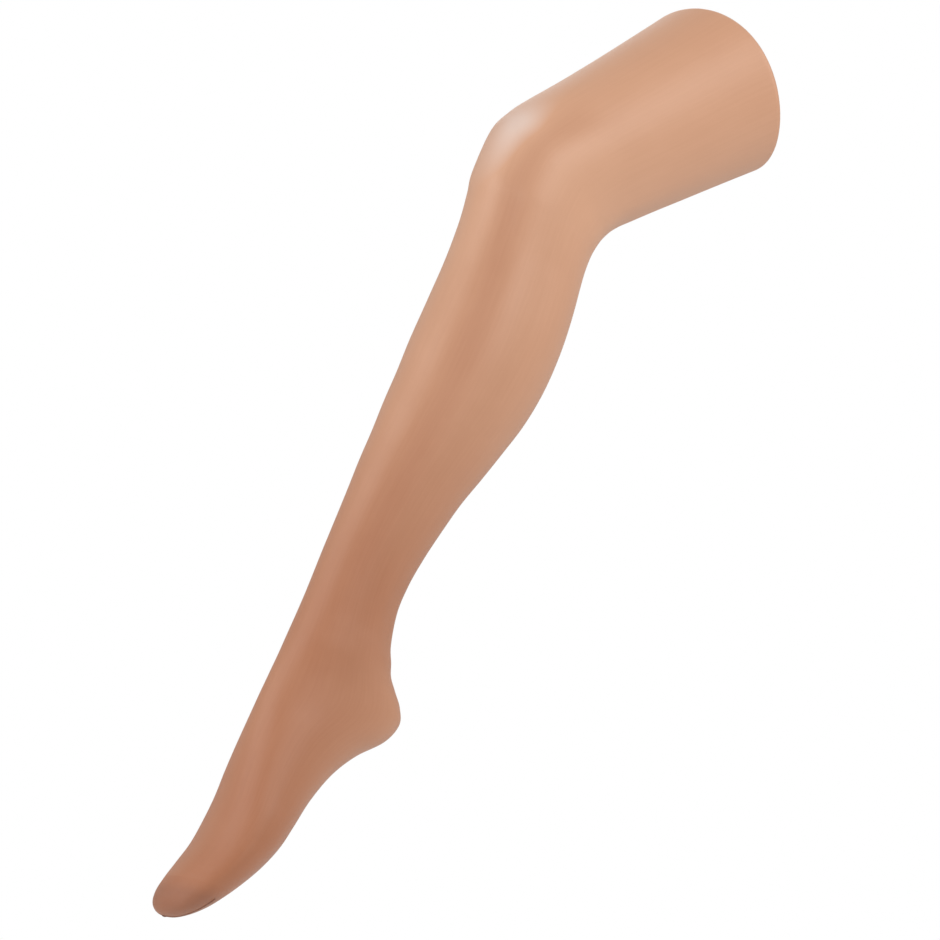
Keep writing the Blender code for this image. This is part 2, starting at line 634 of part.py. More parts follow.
def build_knee_block(frame, looks):
    """Barrel on the knee axle and the upper tube clamp."""
    low, high, bolt = UPPER_CLAMP
    made = solid("knee_block", rod("Y", BARREL_RADIUS, -BARREL_HALF, BARREL_HALF, sides=28), frame,
                 looks["aluminium"])
    add(made, rod("Z", CLAMP_RADIUS, low, high, sides=24))
    add(made, box((-14.0, 14.0), (1.0 - BARREL_HALF, BARREL_HALF - 1.0), (-24.0, -6.0)))
    add(made, box((-STOP_FACE - 0.5, -8.0), (-9.0, 9.0), (0.0, STOP_SPAN[0] - GAP)))
    cut(made, rod("Z", TUBE_RADIUS + GAP, low - 6.0, TUBE_TOP + 1.0, sides=24))
    cut(made, rod("Y", BUSH_RADIUS + GAP, -30.0, 30.0, sides=20))
    split_clamp("upper_clamp_screw", made, frame, looks, (low - 6.0, TUBE_TOP - 3.0), bolt, 1)
    cut(made, rod("X", SET_SCREW + GAP, 9.0, 40.0, (0, 0, FRICTION_SCREW_HEIGHT), 12))
    smooth(made)
    socket_screw("friction_screw", frame, looks["steel"], "X", 24.0, 10.5, SET_SCREW,
                 (0, 0, FRICTION_SCREW_HEIGHT), head=5.0)
    stop = solid("extension_stop", box((-STOP_FACE, -8.5), (-8.0, 8.0), STOP_SPAN), frame,
                 looks["rubber"])
    bevel = stop.modifiers.new("edge", "BEVEL")
    bevel.width = STOP_EDGE * MM
    bevel.segments = 2
    bushes("knee_bush", frame, looks, BUSH_RADIUS, AXLE_RADIUS, BUSH_ENDS)


def bushes(name, frame, looks, outer, shaft, ends):
    """Plain bronze bushes either side of the middle of a shaft."""
    for side, way in (("outer", -1), ("inner", 1)):
        low, high = sorted((way * ends[0], way * ends[1]))
        ring = tube("Y", outer, shaft + GAP, low, high, sides=20)
        smooth(solid("%s_%s" % (name, side), ring, frame, looks["bronze"]))


def build_pylon(frame, looks):
    low, high, bolt = LOWER_CLAMP
    pylon = solid("pylon_tube", tube("Z", TUBE_RADIUS, TUBE_BORE, TUBE_END, TUBE_TOP, sides=24),
                  frame, looks["tube"])
    smooth(pylon)
    made = solid("tube_adapter", rod("Z", CLAMP_RADIUS, low, high, sides=24), frame,
                 looks["aluminium"])
    cut(made, rod("Z", TUBE_RADIUS + GAP, TUBE_END - 1.0, high + 22.0, sides=24))
    cut(made, rod("Z", TUBE_BORE, low - 7.0, TUBE_END + 2.0, sides=24))
    split_clamp("lower_clamp_screw", made, frame, looks, (TUBE_END + 4.0, high + 22.0), bolt, -1)
    set_screws("adapter_screw", made, frame, looks, ADAPTER_SCREWS, CLAMP_RADIUS + 0.8, 10.4)
    smooth(made)


def build_ankle_fork(frame, looks):
    """Pyramid, deck and two cheeks that carry the ankle pin."""
    centre = -KNEE_TO_ANKLE
    deck = centre + 17.0
    made = solid("ankle_fork", box((-13.0, 13.0), (-CHEEK_OUT, CHEEK_OUT), (deck, FORK_TOP)), frame,
                 looks["aluminium"])
    add(made, turned("Z", ((FORK_TOP - 1.0, 0), (FORK_TOP - 1.0, 9.0), (FORK_TOP + 17.0, 11.5),
                           (FORK_TOP + 17.0, 0)), sides=4, phase=0.5))
    cheek = arc(CHEEK_RADIUS, -180, 0, 11, (0.0, centre))
    cheek += [(CHEEK_RADIUS, deck + 1.0), (-CHEEK_RADIUS, deck + 1.0)]
    for low in (-CHEEK_OUT, CHEEK_IN):
        add(made, plate(cheek, low, low + CHEEK_OUT - CHEEK_IN))
    cut(made, rod("Y", PIN_RADIUS + GAP, -40.0, 40.0, (0, 0, centre), 20))
    smooth(made)
    edge = PIN_END - PIN_EDGE
    profile = ((-PIN_END, 0), (-PIN_END, PIN_RADIUS - PIN_EDGE), (-edge, PIN_RADIUS),
               (edge, PIN_RADIUS), (PIN_END, PIN_RADIUS - PIN_EDGE), (PIN_END, 0))
    smooth(solid("ankle_pin", turned("Y", profile, (0, 0, centre), 20), frame, looks["steel"]))


def build_shank_cover(frame, looks):
    foam_inset = STOCKING + UNDER_STOCKING
    knee_trim = wedge(FRONT_PLANE + KNEE_PLANE_GAP, -BACK_PLANE - KNEE_PLANE_GAP)
    centre = -KNEE_TO_ANKLE

    def ankle_trim():
        verts, faces = wedge(180.0 - FRONT_TRIM - JOINT_GAP, 360.0 + BACK_TRIM + JOINT_GAP)
        return [(x, y, z + centre) for x, y, z in verts], faces

    body = shank_rings(foam_inset, KNEE_TO_ANKLE, -PAST_KNEE, SHANK_LEVELS)
    foam = solid("cover_shank", closed_loft(body), frame, looks["foam"])
    cut(foam, knee_ball(KNEE_CAVITY, KNEE_CAVITY_HALF),
        rod("Z", CLAMP_CHANNEL, CLAMP_CHANNEL_END, 0.0, sides=24))
    cut(foam, rod("Z", PYLON_CHANNEL, centre - 18.0, CLAMP_CHANNEL_END + 12.0, sides=24))
    bolt = LOWER_CLAMP[2]
    cut(foam, box((-CLAMP_RADIUS - EAR_DEPTH - 2.0, 0.0), (-16.0, 16.0), (bolt - 10.0, bolt + 12.0)))
    cut(foam, rod("Y", ANKLE_CAVITY, -ANKLE_CAVITY_HALF, ANKLE_CAVITY_HALF, (0, 0, centre), 28))
    cut(foam, box((-15.0, 15.0), (-CHEEK_OUT - 2.0, CHEEK_OUT + 2.0), (centre, FORK_TOP + 3.0)))
    cut(foam, knee_trim, AXIS_RELIEF, ankle_trim())
    smooth(foam)
    walls = [shank_rings(inset, KNEE_TO_ANKLE, -PAST_KNEE, SHANK_LEVELS) for inset in (0.0, STOCKING)]
    nylon = solid("stocking_shank", sleeve(*walls), frame, looks["nylon"])
    cut(nylon, knee_trim, AXIS_RELIEF, ankle_trim())
    smooth(nylon)


# ------------------------------------------------------------------ foot
def keel_outline(clear):
    """Leaf keel seen from the side: flat under the ankle, rising out to heel and toe."""
    top = ((16.5, -37.0), (12.0, -36.3), (-24.0, -36.3), (-60.0, -40.0), (-100.0, -47.5),
           (-140.0, -52.5), (-165.0, -53.0))
    upper = [(x, z + clear) for x, z in top]
    lower = [(x, z - KEEL_THICK - clear) for x, z in reversed(top)]
    upper[0] = (upper[0][0] + clear, upper[0][1])
    lower[-1] = (lower[-1][0] + clear, lower[-1][1])
    upper[-1] = (upper[-1][0] - clear, upper[-1][1])
    lower[0] = (lower[0][0] - clear, lower[0][1])
    return upper + lower


def heel_wedge(clear):
    """Heel cushion seen from the side, under the back of the keel."""
    high = -42.4 + 3 * clear
    low = CUSHION_FLOOR - clear
    return [(9.0 - clear, high), (13.0, high), (18.5 + clear, high - 1.8), (16.5 + clear, low),
            (9.0 - clear, low)]


def toe_block(shift, ahead):
    """Slanted block of all that lies ahead of the reinforced toe's edge, or behind it."""
    (top_ahead, top_z), (low_ahead, low_z) = TOE_LINE
    toes, heel, below, above = FOOT_ROOM
    slope = (top_ahead - low_ahead) / (top_z - low_z)
    high = -(top_ahead + slope * (above - top_z) + shift)
    deep = -(low_ahead + slope * (below - low_z) + shift)
    far = toes if ahead else heel
    return plate([(high, above), (deep, below), (far, below), (far, above)], -80.0, 80.0)


def foot_trim():
    """Foot foam stays below the dorsal plane in front and the heel plane behind."""
    rest_turn = SOLE_PITCH + SHANK_LEAN
    return wedge(180.0 - FRONT_TRIM, BACK_TRIM - rest_turn - JOINT_GAP)


def build_foot(frame, looks):
    foam_inset = STOCKING + UNDER_STOCKING
    base_x, base_y, base_z = BLOCK_BASE
    foam = solid("foot_shell", foot_skin(foam_inset), frame, looks["foot"])
    cut(foam, plate(keel_outline(POCKET_ROOM), -KEEL_HALF - POCKET_ROOM, KEEL_HALF + POCKET_ROOM))
    cut(foam, plate(heel_wedge(POCKET_ROOM), -CUSHION_HALF - POCKET_ROOM,
                    CUSHION_HALF + POCKET_ROOM))
    cut(foam, box((base_x[0] - 1.5, base_x[1] + 1.5), (base_y[0] - 1.5, base_y[1] + 1.5),
                  (base_z[0] - 2.0, 0.0)))
    cut(foam, rod("Y", ANKLE_CAVITY, -ANKLE_CAVITY_HALF, ANKLE_CAVITY_HALF, sides=28))
    cut(foam, rod("Z", BOLT_RADIUS + 4.0, -90.0, -40.0, sides=16))
    cut(foam, foot_trim())
    smooth(foam)

    outer = foot_skin(0.0)
    inner = foot_skin(STOCKING)
    for name, away, look in (("stocking_foot", toe_block(0.0, True), "nylon"),
                             ("stocking_toe", toe_block(GAP, False), "toe")):
        nylon = solid(name, outer, frame, looks[look])
        cut(nylon, inner, away)
        if name == "stocking_foot":
            cut(nylon, foot_trim())
        smooth(nylon)


def build_keel(frame, looks):
    """Carbon keel, heel cushion, and the ankle block bolted down on the keel."""
    keel = solid("foot_keel", plate(keel_outline(0.0), -KEEL_HALF, KEEL_HALF), frame, looks["carbon"])
    cut(keel, rod("Z", BOLT_RADIUS + GAP, -60.0, -30.0, sides=16))
    cushion = solid("heel_cushion", plate(heel_wedge(0.0), -CUSHION_HALF, CUSHION_HALF), frame,
                    looks["pad"])
    smooth(cushion)
    block = solid("ankle_block", rod("Y", BLOCK_RADIUS, -BLOCK_HALF, BLOCK_HALF, sides=24), frame,
                  looks["aluminium"])
    add(block, box((-BLOCK_RADIUS, BLOCK_RADIUS), (-BLOCK_HALF, BLOCK_HALF), (-30.0, 0.0)))
    add(block, box(*BLOCK_BASE))
    cut(block, rod("Y", ANKLE_BUSH + GAP, -30.0, 30.0, sides=20))
    cut(block, rod("Z", BOLT_RADIUS + GAP, -50.0, -22.0, sides=16))
    cut(block, rod("Y", ANKLE_BUTTON_RADIUS + GAP, 4.0, 30.0, (0, 0, ANKLE_BUTTON_HEIGHT), 16))
    smooth(block)
    bushes("ankle_bush", frame, looks, ANKLE_BUSH, PIN_RADIUS, (1.0, BLOCK_HALF))
    socket_screw("foot_bolt", frame, looks["steel"], "Z", *BOLT_SPAN, BOLT_RADIUS, (0, 0, 0),
                 head=8.0)


def build_ankle_button(frame, looks):
    """Push button on the inner side that frees the ankle."""
    low, high = ANKLE_BUTTON_SPAN
    profile = ((low, 0), (low, ANKLE_BUTTON_RADIUS), (high - 0.8, ANKLE_BUTTON_RADIUS),
               (high, ANKLE_BUTTON_RADIUS - 0.8), (high, 0))
    smooth(solid("ankle_button", turned("Y", profile, (0.0, 0.0, ANKLE_BUTTON_HEIGHT), 16), frame,
                 looks["button"]))


def build_toe_seam(frame, looks):
    """Stitched closing seam of the stocking, round the tips of the toes."""
    outward = SEAM_RADIUS + GAP
    run = np.linspace(*SEAM_RUN, 6)
    turn = np.full(len(run), SEAM_TURN)
    side = foot_point(run, turn, -outward)
    other = foot_point(run, 2 * pi - turn, -outward)
    for line in (side, other):
        line[:, 0] -= 1.5 * outward * (run - run[0]) / (run[-1] - run[0])
    other = other[::-1]
    tip = np.array([[-FOOT_TIP[0] - 1.5 * outward, FOOT_TIP[2], FOOT_TIP[1] - SEAM_BELOW_TIP]])
    path = np.concatenate([side, tip, other])
    curve = bpy.data.curves.new("toe_seam", "CURVE")
    curve.dimensions = "3D"
    line = curve.splines.new("POLY")
    line.points.add(len(path) - 1)
    for point, place in zip(line.points, path):
        point.co = (*(Vector(place) * MM), 1.0)
    curve.bevel_depth = SEAM_RADIUS * MM
    curve.bevel_resolution = 1
    curve.use_fill_caps = True
    curve.materials.append(looks["toe"])
    made = bpy.data.objects.new("toe_seam", curve)
    bpy.context.scene.collection.objects.link(made)
    made.parent = frame


# ------------------------------------------------------------------ whole leg
def main():
    clear_scene()
    looks = {
        "nylon": material("sheer_nylon", (0.63, 0.36, 0.23), 0.55),
        "toe": material("toe_nylon", (0.36, 0.16, 0.09), 0.7),
        "foam": material("skin_foam", (0.72, 0.46, 0.33), 0.85),
        "foot": material("foot_foam", (0.70, 0.44, 0.31), 0.7),
        "laminate": material("socket_laminate", (0.05, 0.05, 0.055), 0.3),
        "liner": material("liner_foam", (0.82, 0.72, 0.60), 0.8),
        "pad": material("pad_gel", (0.55, 0.55, 0.58), 0.6),
        "aluminium": material("aluminium", (0.75, 0.76, 0.78), 0.35, 1.0),
        "tube": material("tube_anodised", (0.55, 0.57, 0.60), 0.3, 1.0),
        "steel": material("screw_steel", (0.45, 0.46, 0.48), 0.35, 1.0),
        "bronze": material("bush_bronze", (0.60, 0.40, 0.18), 0.4, 1.0),
        "rubber": material("stop_rubber", (0.03, 0.03, 0.03), 0.8),
        "carbon": material("keel_carbon", (0.03, 0.03, 0.035), 0.35),
        "plastic": material("valve_plastic", (0.12, 0.12, 0.13), 0.5),
        "button": material("button_plastic", (0.40, 0.05, 0.04), 0.45),
    }
    pitch = radians(THIGH_PITCH)
    lean = radians(SHANK_LEAN)
    up_thigh = Vector((cos(pitch), 0.0, sin(pitch)))
    behind_thigh = Vector((sin(pitch), 0.0, -cos(pitch)))
    knee = -(up_thigh * KNEE_TO_PAD + behind_thigh * SOCKET_SHIFT)
    ankle = knee + Vector((-sin(lean), 0.0, -cos(lean))) * KNEE_TO_ANKLE
    thigh = limb_frame("thigh_frame", knee, 90.0 - THIGH_PITCH)
    shank = limb_frame("knee_axis", knee, SHANK_LEAN)
    foot = limb_frame("ankle_axis", ankle, -SOLE_PITCH)
    bpy.context.view_layer.update()
    build_thigh(thigh, looks)
    build_valve_button(thigh, looks)
    build_knee_head(thigh, looks)
    build_socket_plate(thigh, looks)
    build_knee_pad(thigh, looks)
    build_knee_block(shank, looks)
    build_pylon(shank, looks)
    build_ankle_fork(shank, looks)
    build_shank_cover(shank, looks)
    build_foot(foot, looks)
    build_keel(foot, looks)
    build_ankle_button(foot, looks)
    build_toe_seam(foot, looks)


main()
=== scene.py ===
"""Covered prosthetic leg: foam cover, sheer stocking, socket lining and finishes round the leg's frame.

All the soft parts follow one surface. A station s runs down the limb in millimetres: minus the height
above the knee on the thigh, the distance below the knee on the shank, then on along the foot. A turn t
goes round it: 0 at the front, pi/2 on the outer side, pi behind. Each station has a front point, a
back point and a half width, and its ring is the ellipse through them, with low mounds and hollows
raised along the normal.
"""
import json
from math import cos, pi, radians, sin

import bmesh
import bpy
import numpy as np
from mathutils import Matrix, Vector


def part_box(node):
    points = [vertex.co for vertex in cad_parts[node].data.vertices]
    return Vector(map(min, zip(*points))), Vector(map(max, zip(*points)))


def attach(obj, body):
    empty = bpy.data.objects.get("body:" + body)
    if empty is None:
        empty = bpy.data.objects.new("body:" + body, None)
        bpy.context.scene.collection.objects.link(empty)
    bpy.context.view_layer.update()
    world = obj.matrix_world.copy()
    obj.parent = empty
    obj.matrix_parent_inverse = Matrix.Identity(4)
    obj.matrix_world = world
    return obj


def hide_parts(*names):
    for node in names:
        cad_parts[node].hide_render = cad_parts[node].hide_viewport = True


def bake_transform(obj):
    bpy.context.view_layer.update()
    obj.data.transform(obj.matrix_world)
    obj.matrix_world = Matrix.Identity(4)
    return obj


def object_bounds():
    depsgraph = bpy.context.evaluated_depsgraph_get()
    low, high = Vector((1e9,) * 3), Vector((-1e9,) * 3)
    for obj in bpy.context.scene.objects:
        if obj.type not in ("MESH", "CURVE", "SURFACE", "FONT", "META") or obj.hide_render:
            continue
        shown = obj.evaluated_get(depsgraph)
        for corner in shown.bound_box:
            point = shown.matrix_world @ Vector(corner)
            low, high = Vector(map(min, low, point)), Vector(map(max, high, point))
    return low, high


bl_info = {
    "name": "Covered Prosthetic Leg",
    "version": (1, 0, 0),
    "blender": (4, 5, 0),
    "location": "View3D > Sidebar > Leg",
    "description": "Foam cover, sheer stocking, socket lining and finishes of a prosthetic leg",
    "category": "Object",
}

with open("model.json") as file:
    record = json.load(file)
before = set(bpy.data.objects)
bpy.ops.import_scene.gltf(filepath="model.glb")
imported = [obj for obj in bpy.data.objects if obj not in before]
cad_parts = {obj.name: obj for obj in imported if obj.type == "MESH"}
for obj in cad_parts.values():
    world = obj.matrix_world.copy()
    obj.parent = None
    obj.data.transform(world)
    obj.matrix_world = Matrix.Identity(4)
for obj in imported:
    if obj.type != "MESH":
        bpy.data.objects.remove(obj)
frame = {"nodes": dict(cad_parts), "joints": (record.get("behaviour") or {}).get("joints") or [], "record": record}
CAD_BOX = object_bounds()
MM = 0.001
MERGE = 2e-6                 # metres; corners closer than this become one
SHARP_ANGLE = 40.0           # degrees between faces, past which an edge is shaded sharp

# ------------------------------------------------------------------ the limb, in millimetres
THIGH_PITCH = 23.0           # thigh axis above the horizontal
SHANK_LEAN = 25.0            # shank axis off the vertical
SOLE_PITCH = 43.6            # sole below the horizontal, foot pointed
BRIM_HEIGHT = 170.0          # above the knee
BRIM_BACK_RISE = 5.0
BRIM_OUTER_RISE = 20.0
BRIM_TWIST = 5.0             # front outer quarter above the back outer one
BRIM_ROLL = 4.5              # radius of the rolled top edge
FOAM_AT_BRIM = 9.0           # wall of the foam beside the socket
MID_SHANK = 200.0            # station where the cover's upper and lower parts meet
TOE_POLE = 655.0             # station of the toe's tip
FOOT_TIP = (226.8, -39.5)    # ahead of the ankle and above it
TOE_SHIFT = 9.0              # of the tip, inward
TOE_LINE = ((203.0, -22.0), (178.0, -66.0))   # the reinforced toe starts here, top and bottom
AROUND = 168                 # points round a ring
RIM_ROWS = 7                 # rings over the outer half of the rolled rim
SOCKET_AROUND = 144
SLANT = (0.31, 0.17, 0.93)   # direction that no tube's path follows

# height above the knee, front, back, half width
THIGH = ((200, 78, 62.5, 67.5), (182, 77.5, 61.5, 67), (139, 72.4, 59.4, 64.5), (104, 68, 58, 62),
         (80, 65.3, 57, 60), (60, 63.2, 56.5, 58))
# distance below the knee, front, back, half width
SHANK = ((60, 39.8, 64.5, 50), (75, 39.2, 66.8, 50.5), (112, 39.5, 70.2, 52), (149, 40.4, 69.4, 51),
         (174, 40.2, 65.6, 48.5), (199, 40.8, 59, 45), (224, 40.6, 51.8, 41.5), (248, 41.1, 44.5, 38),
         (273, 40.8, 39, 35), (298, 40.7, 34.3, 32.5), (323, 40.6, 31.4, 31), (347, 40.1, 32.1, 31))
# round the knee: station, then front and back as height above the knee and distance from the axis
# on the thigh's side, or as distance below it on the shank's side, and the half width
KNEE_ABOVE = ((-44, 44, 61.7, 50, 56.4, 56.5), (-28, 27, 59.8, 41, 57.6, 55), (-13, 6, 56.6, 34, 60.0, 53.5),
              (0, -12.0, 50.6, 28, 62.5, 52.6))
KNEE_BELOW = ((13, 8, 46.9, 27, 63.5, 52), (28, 25, 43.8, 34, 62.3, 51.3), (44, 43, 41.0, 46, 62.6, 50.5))
# round the ankle: station, front below the knee and its distance, then back ahead of the ankle, its
# height, and the half width
ANKLE = ((366, 363, 40, -43.5, -23.5, 31.6), (382, 379, 40.2, -35.3, -32.5, 32.6),
         (398, 394, 40.6, -28.1, -40, 33), (414, 407.7, 41.1, -23.3, -50.4, 32.3))
# station, top ahead of the ankle and height, bottom ahead and depth, half width, inward shift
FOOT = ((430, 32.4, 32.2, -17.9, -62.2, 31.8, 0), (446, 44, 28.3, -8.4, -71.4, 31.8, 0),
        (461, 54.8, 24.3, 9.2, -71.8, 32.2, 0.4), (475, 65.7, 19.7, 32.9, -63.4, 33.2, 1),
        (490, 79, 14, 57, -59.4, 35, 1.7), (506, 93, 8, 84, -60.5, 37.4, 2),
        (524, 110, 0.5, 110, -65, 40.5, 2), (543, 129, -8, 130, -67.5, 43, 1),
        (562, 148, -15, 150, -67.5, 43.5, 1), (581, 167, -20.5, 169, -65.5, 42, 1.5),
        (600, 186, -23, 188, -62.5, 38.5, 3), (615, 201, -24.5, 202.5, -59, 34, 4),
        (628, 213, -27, 214, -54.4, 28, 6), (641, 222, -31.5, 222.5, -48.6, 17.5, 8),
        (TOE_POLE, *FOOT_TIP, *FOOT_TIP, 0, TOE_SHIFT), (669, 222.5, -48.6, 222, -31.5, -17.5, 9))

# station, turn of the groove between shin and calf in degrees, its depth
SIDE_GROOVE = ((-110, 62, 0), (-60, 60, 0.5), (-36, 53, 1.3), (0, 46, 2.2), (40, 47, 2.3), (80, 51, 2.1),
               (138, 56, 1.6), (200, 60, 1.2), (300, 64, 0.7), (370, 66, 0.0), (400, 66, 0.0))
GROOVE_WIDTH = 15.0          # degrees
# mounds and hollows: height, station, turn in degrees, length down the limb, width in degrees
RELIEF = (
    (1.8, -14, 6, 22, 26), (-1.3, -34, 40, 16, 15), (-1.5, 2, -44, 22, 17),      # kneecap and its sides
    (-0.4, 18, 4, 12, 24), (0.4, 46, 6, 20, 22),                                 # below the kneecap
    (1.6, 118, 104, 70, 26), (1.4, 132, -112, 62, 26),                           # heads of the calf
    (1.2, -46, 138, 38, 12), (1.2, -46, -138, 38, 12), (-1.6, -6, 180, 26, 26),  # behind the knee
    (-1.6, 352, 132, 34, 20), (-1.6, 352, -132, 34, 20),                         # beside the heel tendon
    (0.4, 400, 96, 24, 24), (0.9, 392, -88, 18, 22),                             # ankle bones
    (-1.2, 508, -128, 30, 24))                                                   # arch, inner side
# station and the foam's wall there, which leaves room for the leg's frame inside
CORE = ((-190, 8.2), (-160, 8.3), (-148, 10.4), (-104, 14.2), (-58, 17.9), (-30, 14), (0, 11), (30, 11),
        (60, 12), (100, 17), (200, 18), (250, 14), (300, 10.8), (323, 9.4), (400, 9.4), (460, 10), (520, 7),
        (600, 7))
CORE_END = 592.0             # station where the room inside the foot ends
CORE_ROUND = 20.0            # length of its round end

# ------------------------------------------------------------------ the stocking
# stretch of the knit by station: 1 pale, 0 dense
TONE = ((-190, 0.84), (-100, 0.90), (-50, 0.96), (-12, 1.0), (30, 0.90), (90, 0.80), (150, 0.69),
        (210, 0.55), (270, 0.36), (330, 0.18), (390, 0.10), (440, 0.16), (500, 0.10), (570, 0.02), (655, 0.0))
STRETCH_AND_HIGHLIGHT_TOP = 1.4         # over the kneecap, where the foam shows through and a highlight is painted
STRETCH_AND_HIGHLIGHT_SPOTS = ((0.44, -5, 26, 16, 20), (0.33, 438, 150, 62, 55))   # paler kneecap and heel: stretched knit with a painted highlight, placed as in RELIEF
SHIN_PAINTED_HIGHLIGHT, SHIN_PAINTED_HIGHLIGHT_WIDTH = 0.10, 0.45      # painted highlight: paler along the front, and how wide in radians
GROOVE_PAINTED_SHADE, GROOVE_PAINTED_SHADE_WIDTH = 0.15, 0.3   # painted shade: darker in the groove beside the knee, and how wide in radians
HEM_TONE = 0.55
UPPER_CLOTH = (360.0, 370.0)  # round the leg and along it, for the knit and the foam's UV maps
LOWER_CLOTH = (330.0, 400.0)
TOE_CLOTH = (260.0, 60.0)
HEM_CLOTH = (360.0, 14.0)
FOOT_CLOTH = (330.0, 450.0)
TOE_FADE = 16.0              # the toe's denser knit sets in over this length
TOE_EXTRA = 0.2              # the toe's knit is this much thicker
FOAM_UNDER_HEM = 0.8         # the foam lies this far under the hem's outside, and gives a little
WALE, COURSE = 0.7, 0.55     # stitch of the knit, across and along
SEAM_REACH = 0.31            # the toe seam's half length, in half turns round the toes
SEAM_TIP, SEAM_BACK = 650.0, 40.0    # station of its middle, and how far back its ends lie
SEAM_THREAD, SEAM_SWELL = 0.55, 0.14   # radius of its thread, and how much each stitch swells it
SEAM_SINK = 0.1              # depth of its middle under the surface
SEAM_POINTS = 181

# ------------------------------------------------------------------ the socket
SOCKET_FLOOR = 57.6          # height of the socket's underside above the knee
SOCKET_TAPER = 9.0           # how far its wall draws in from brim to floor
SOCKET_SHIFT = -3.0          # of its middle, behind the thigh's axis
SOCKET_WALL, SOCKET_BASE = 3.5, 4.7
SOCKET_DROP = 3.0            # its rim lies this far under the foam's
SOCKET_ROLL, LINER_ROLL = 1.2, 2.6   # radii of the rounded rims
LINER_BASE = 6.5
SOCKET_CLOTH, LINER_CLOTH = (400.0, 260.0), (340.0, 220.0)   # round and down, for their UV maps
PAD_TOP = 74.0               # above the knee
PAD_GROOVE = ((12.0, 0.0), (9.0, 0.25), (6.0, 0.0))   # distance in from the pad's edge, depth
VALVE_HOLE = 11.3            # radius through socket and liner
VALVE_RING = 1.7             # radius of the ring's section
RING_SINK = 0.5              # depth of its middle under the surface
RING_POINTS = 96
GAP = 0.3                    # between pieces that meet

# ------------------------------------------------------------------ the stage, in metres
LEG_MIDDLE = Vector((-0.1204, 0.0, -0.2482))
VIEW_TURN = -25.0            # the camera looks from this far round, in degrees
SURROUND_LIGHT = 0.45
FLOOR_RINGS, FLOOR_COLUMNS = 13, 128
# name, place from the leg's middle, watts, width and height, colour
STUDIO = (("light_front", (-0.1, -1.95, 1.2), 12.5, (0.8, 0.8), (1.0, 0.985, 0.97)),
          ("light_left", (-1.96, 0.1, 0.45), 15.5, (0.7, 1.6), (1.0, 0.985, 0.975)),
          ("light_right", (1.6, -1.1, 1.1), 14.0, (0.8, 1.6), (1.0, 0.985, 0.97)),
          ("light_behind", (0.8, 1.7, 1.2), 5.0, (1.5, 1.5), (1.0, 1.0, 1.0)))


def joint_place(name):
    """A joint's place as (x, z) in millimetres."""
    place = next(j["pos_m"] for j in frame["joints"] if j["name"] == name)
    return np.array([place[0], place[2]]) / MM


KNEE = joint_place("knee_flexion")
ANKLE_PIN = joint_place("ankle_dorsiflexion")
UP_THIGH = np.array([cos(radians(THIGH_PITCH)), sin(radians(THIGH_PITCH))])
BEHIND_THIGH = np.array([UP_THIGH[1], -UP_THIGH[0]])
UP_SHANK = np.array([sin(radians(SHANK_LEAN)), cos(radians(SHANK_LEAN))])
BEHIND_SHANK = np.array([UP_SHANK[1], -UP_SHANK[0]])
AHEAD_FOOT = -np.array([cos(radians(SOLE_PITCH)), sin(radians(SOLE_PITCH))])
UP_FOOT = np.array([AHEAD_FOOT[1], -AHEAD_FOOT[0]])


def thigh_place(height, behind):
    """x and z of a point that far above the knee and behind the thigh's axis; the next two are alike."""
    return KNEE + height * UP_THIGH + behind * BEHIND_THIGH


def shank_place(down, behind):
    return KNEE - down * UP_SHANK + behind * BEHIND_SHANK


def foot_place(ahead, high):
    return ANKLE_PIN + ahead * AHEAD_FOOT + high * UP_FOOT


def station_table():
    """Rows of station, front x and z, back x and z, half width, shift, down the whole limb."""
    rows = [(-h, *thigh_place(h, -front), *thigh_place(h, back), half, 0)
            for h, front, back, half in THIGH]
    rows += [(s, *thigh_place(hf, -front), *thigh_place(hb, back), half, 0)
             for s, hf, front, hb, back, half in KNEE_ABOVE]
    rows += [(s, *shank_place(df, -front), *shank_place(db, back), half, 0)
             for s, df, front, db, back, half in KNEE_BELOW]
    rows += [(d, *shank_place(d, -front), *shank_place(d, back), half, 0)
             for d, front, back, half in SHANK]
    rows += [(s, *shank_place(df, -front), *foot_place(ahead, depth), half, 0)
             for s, df, front, ahead, depth, half in ANKLE]
    rows += [(s, *foot_place(tf, top), *foot_place(bf, bottom), half, shift)
             for s, tf, top, bf, bottom, half, shift in FOOT]
    return np.array(rows, float)


STATIONS = station_table()


# ------------------------------------------------------------------ surfaces as arrays
def along(table, at):
    """Smooth curve through a table's rows, first column against the others: cubic Hermite pieces
    with centred slopes. Returns an array with one more axis, the table's other columns."""
    table = np.asarray(table, float)
    xs, ys = table[:, 0], table[:, 1:]
    slopes = np.gradient(ys, xs, axis=0)
    at = np.clip(at, xs[0], xs[-1])
    k = np.clip(np.searchsorted(xs, at) - 1, 0, len(xs) - 2)
    span = (xs[k + 1] - xs[k])[..., None]
    t = (at - xs[k])[..., None] / span
    return ((2 * t**3 - 3 * t**2 + 1) * ys[k] + (t**3 - 2 * t**2 + t) * span * slopes[k]
            + (3 * t**2 - 2 * t**3) * ys[k + 1] + (t**3 - t**2) * span * slopes[k + 1])


def smooth_step(value, low, high):
    """0 below low, 1 above high, and the cubic 3t^2 - 2t^3 between."""
    t = np.clip((value - low) / (high - low), 0, 1)
    return t * t * (3 - 2 * t)


def around(turn, centre):
    """Angle from a centre, between -pi and pi."""
    return (turn - centre + pi) % (2 * pi) - pi


def mound(s, turn, at_s, at_turn, length, width):
    """Gaussian mound of height 1; the turn and the width are in degrees."""
    return np.exp(-((s - at_s) / length)**2 - (around(turn, np.radians(at_turn)) / radians(width))**2)


def groove(s, turn, width):
    """Depth of the groove beside the knee, fading to both sides as a Gaussian that wide."""
    row = along(SIDE_GROOVE, s)
    return row[..., 1] * np.exp(-(around(turn, np.radians(row[..., 0])) / width)**2)


def relief(s, turn):
    """Height of the limb's mounds and hollows above its plain ellipses."""
    high = -groove(s, turn, radians(GROOVE_WIDTH))
    for height, *place in RELIEF:
        high += height * mound(s, turn, *place)
    return high


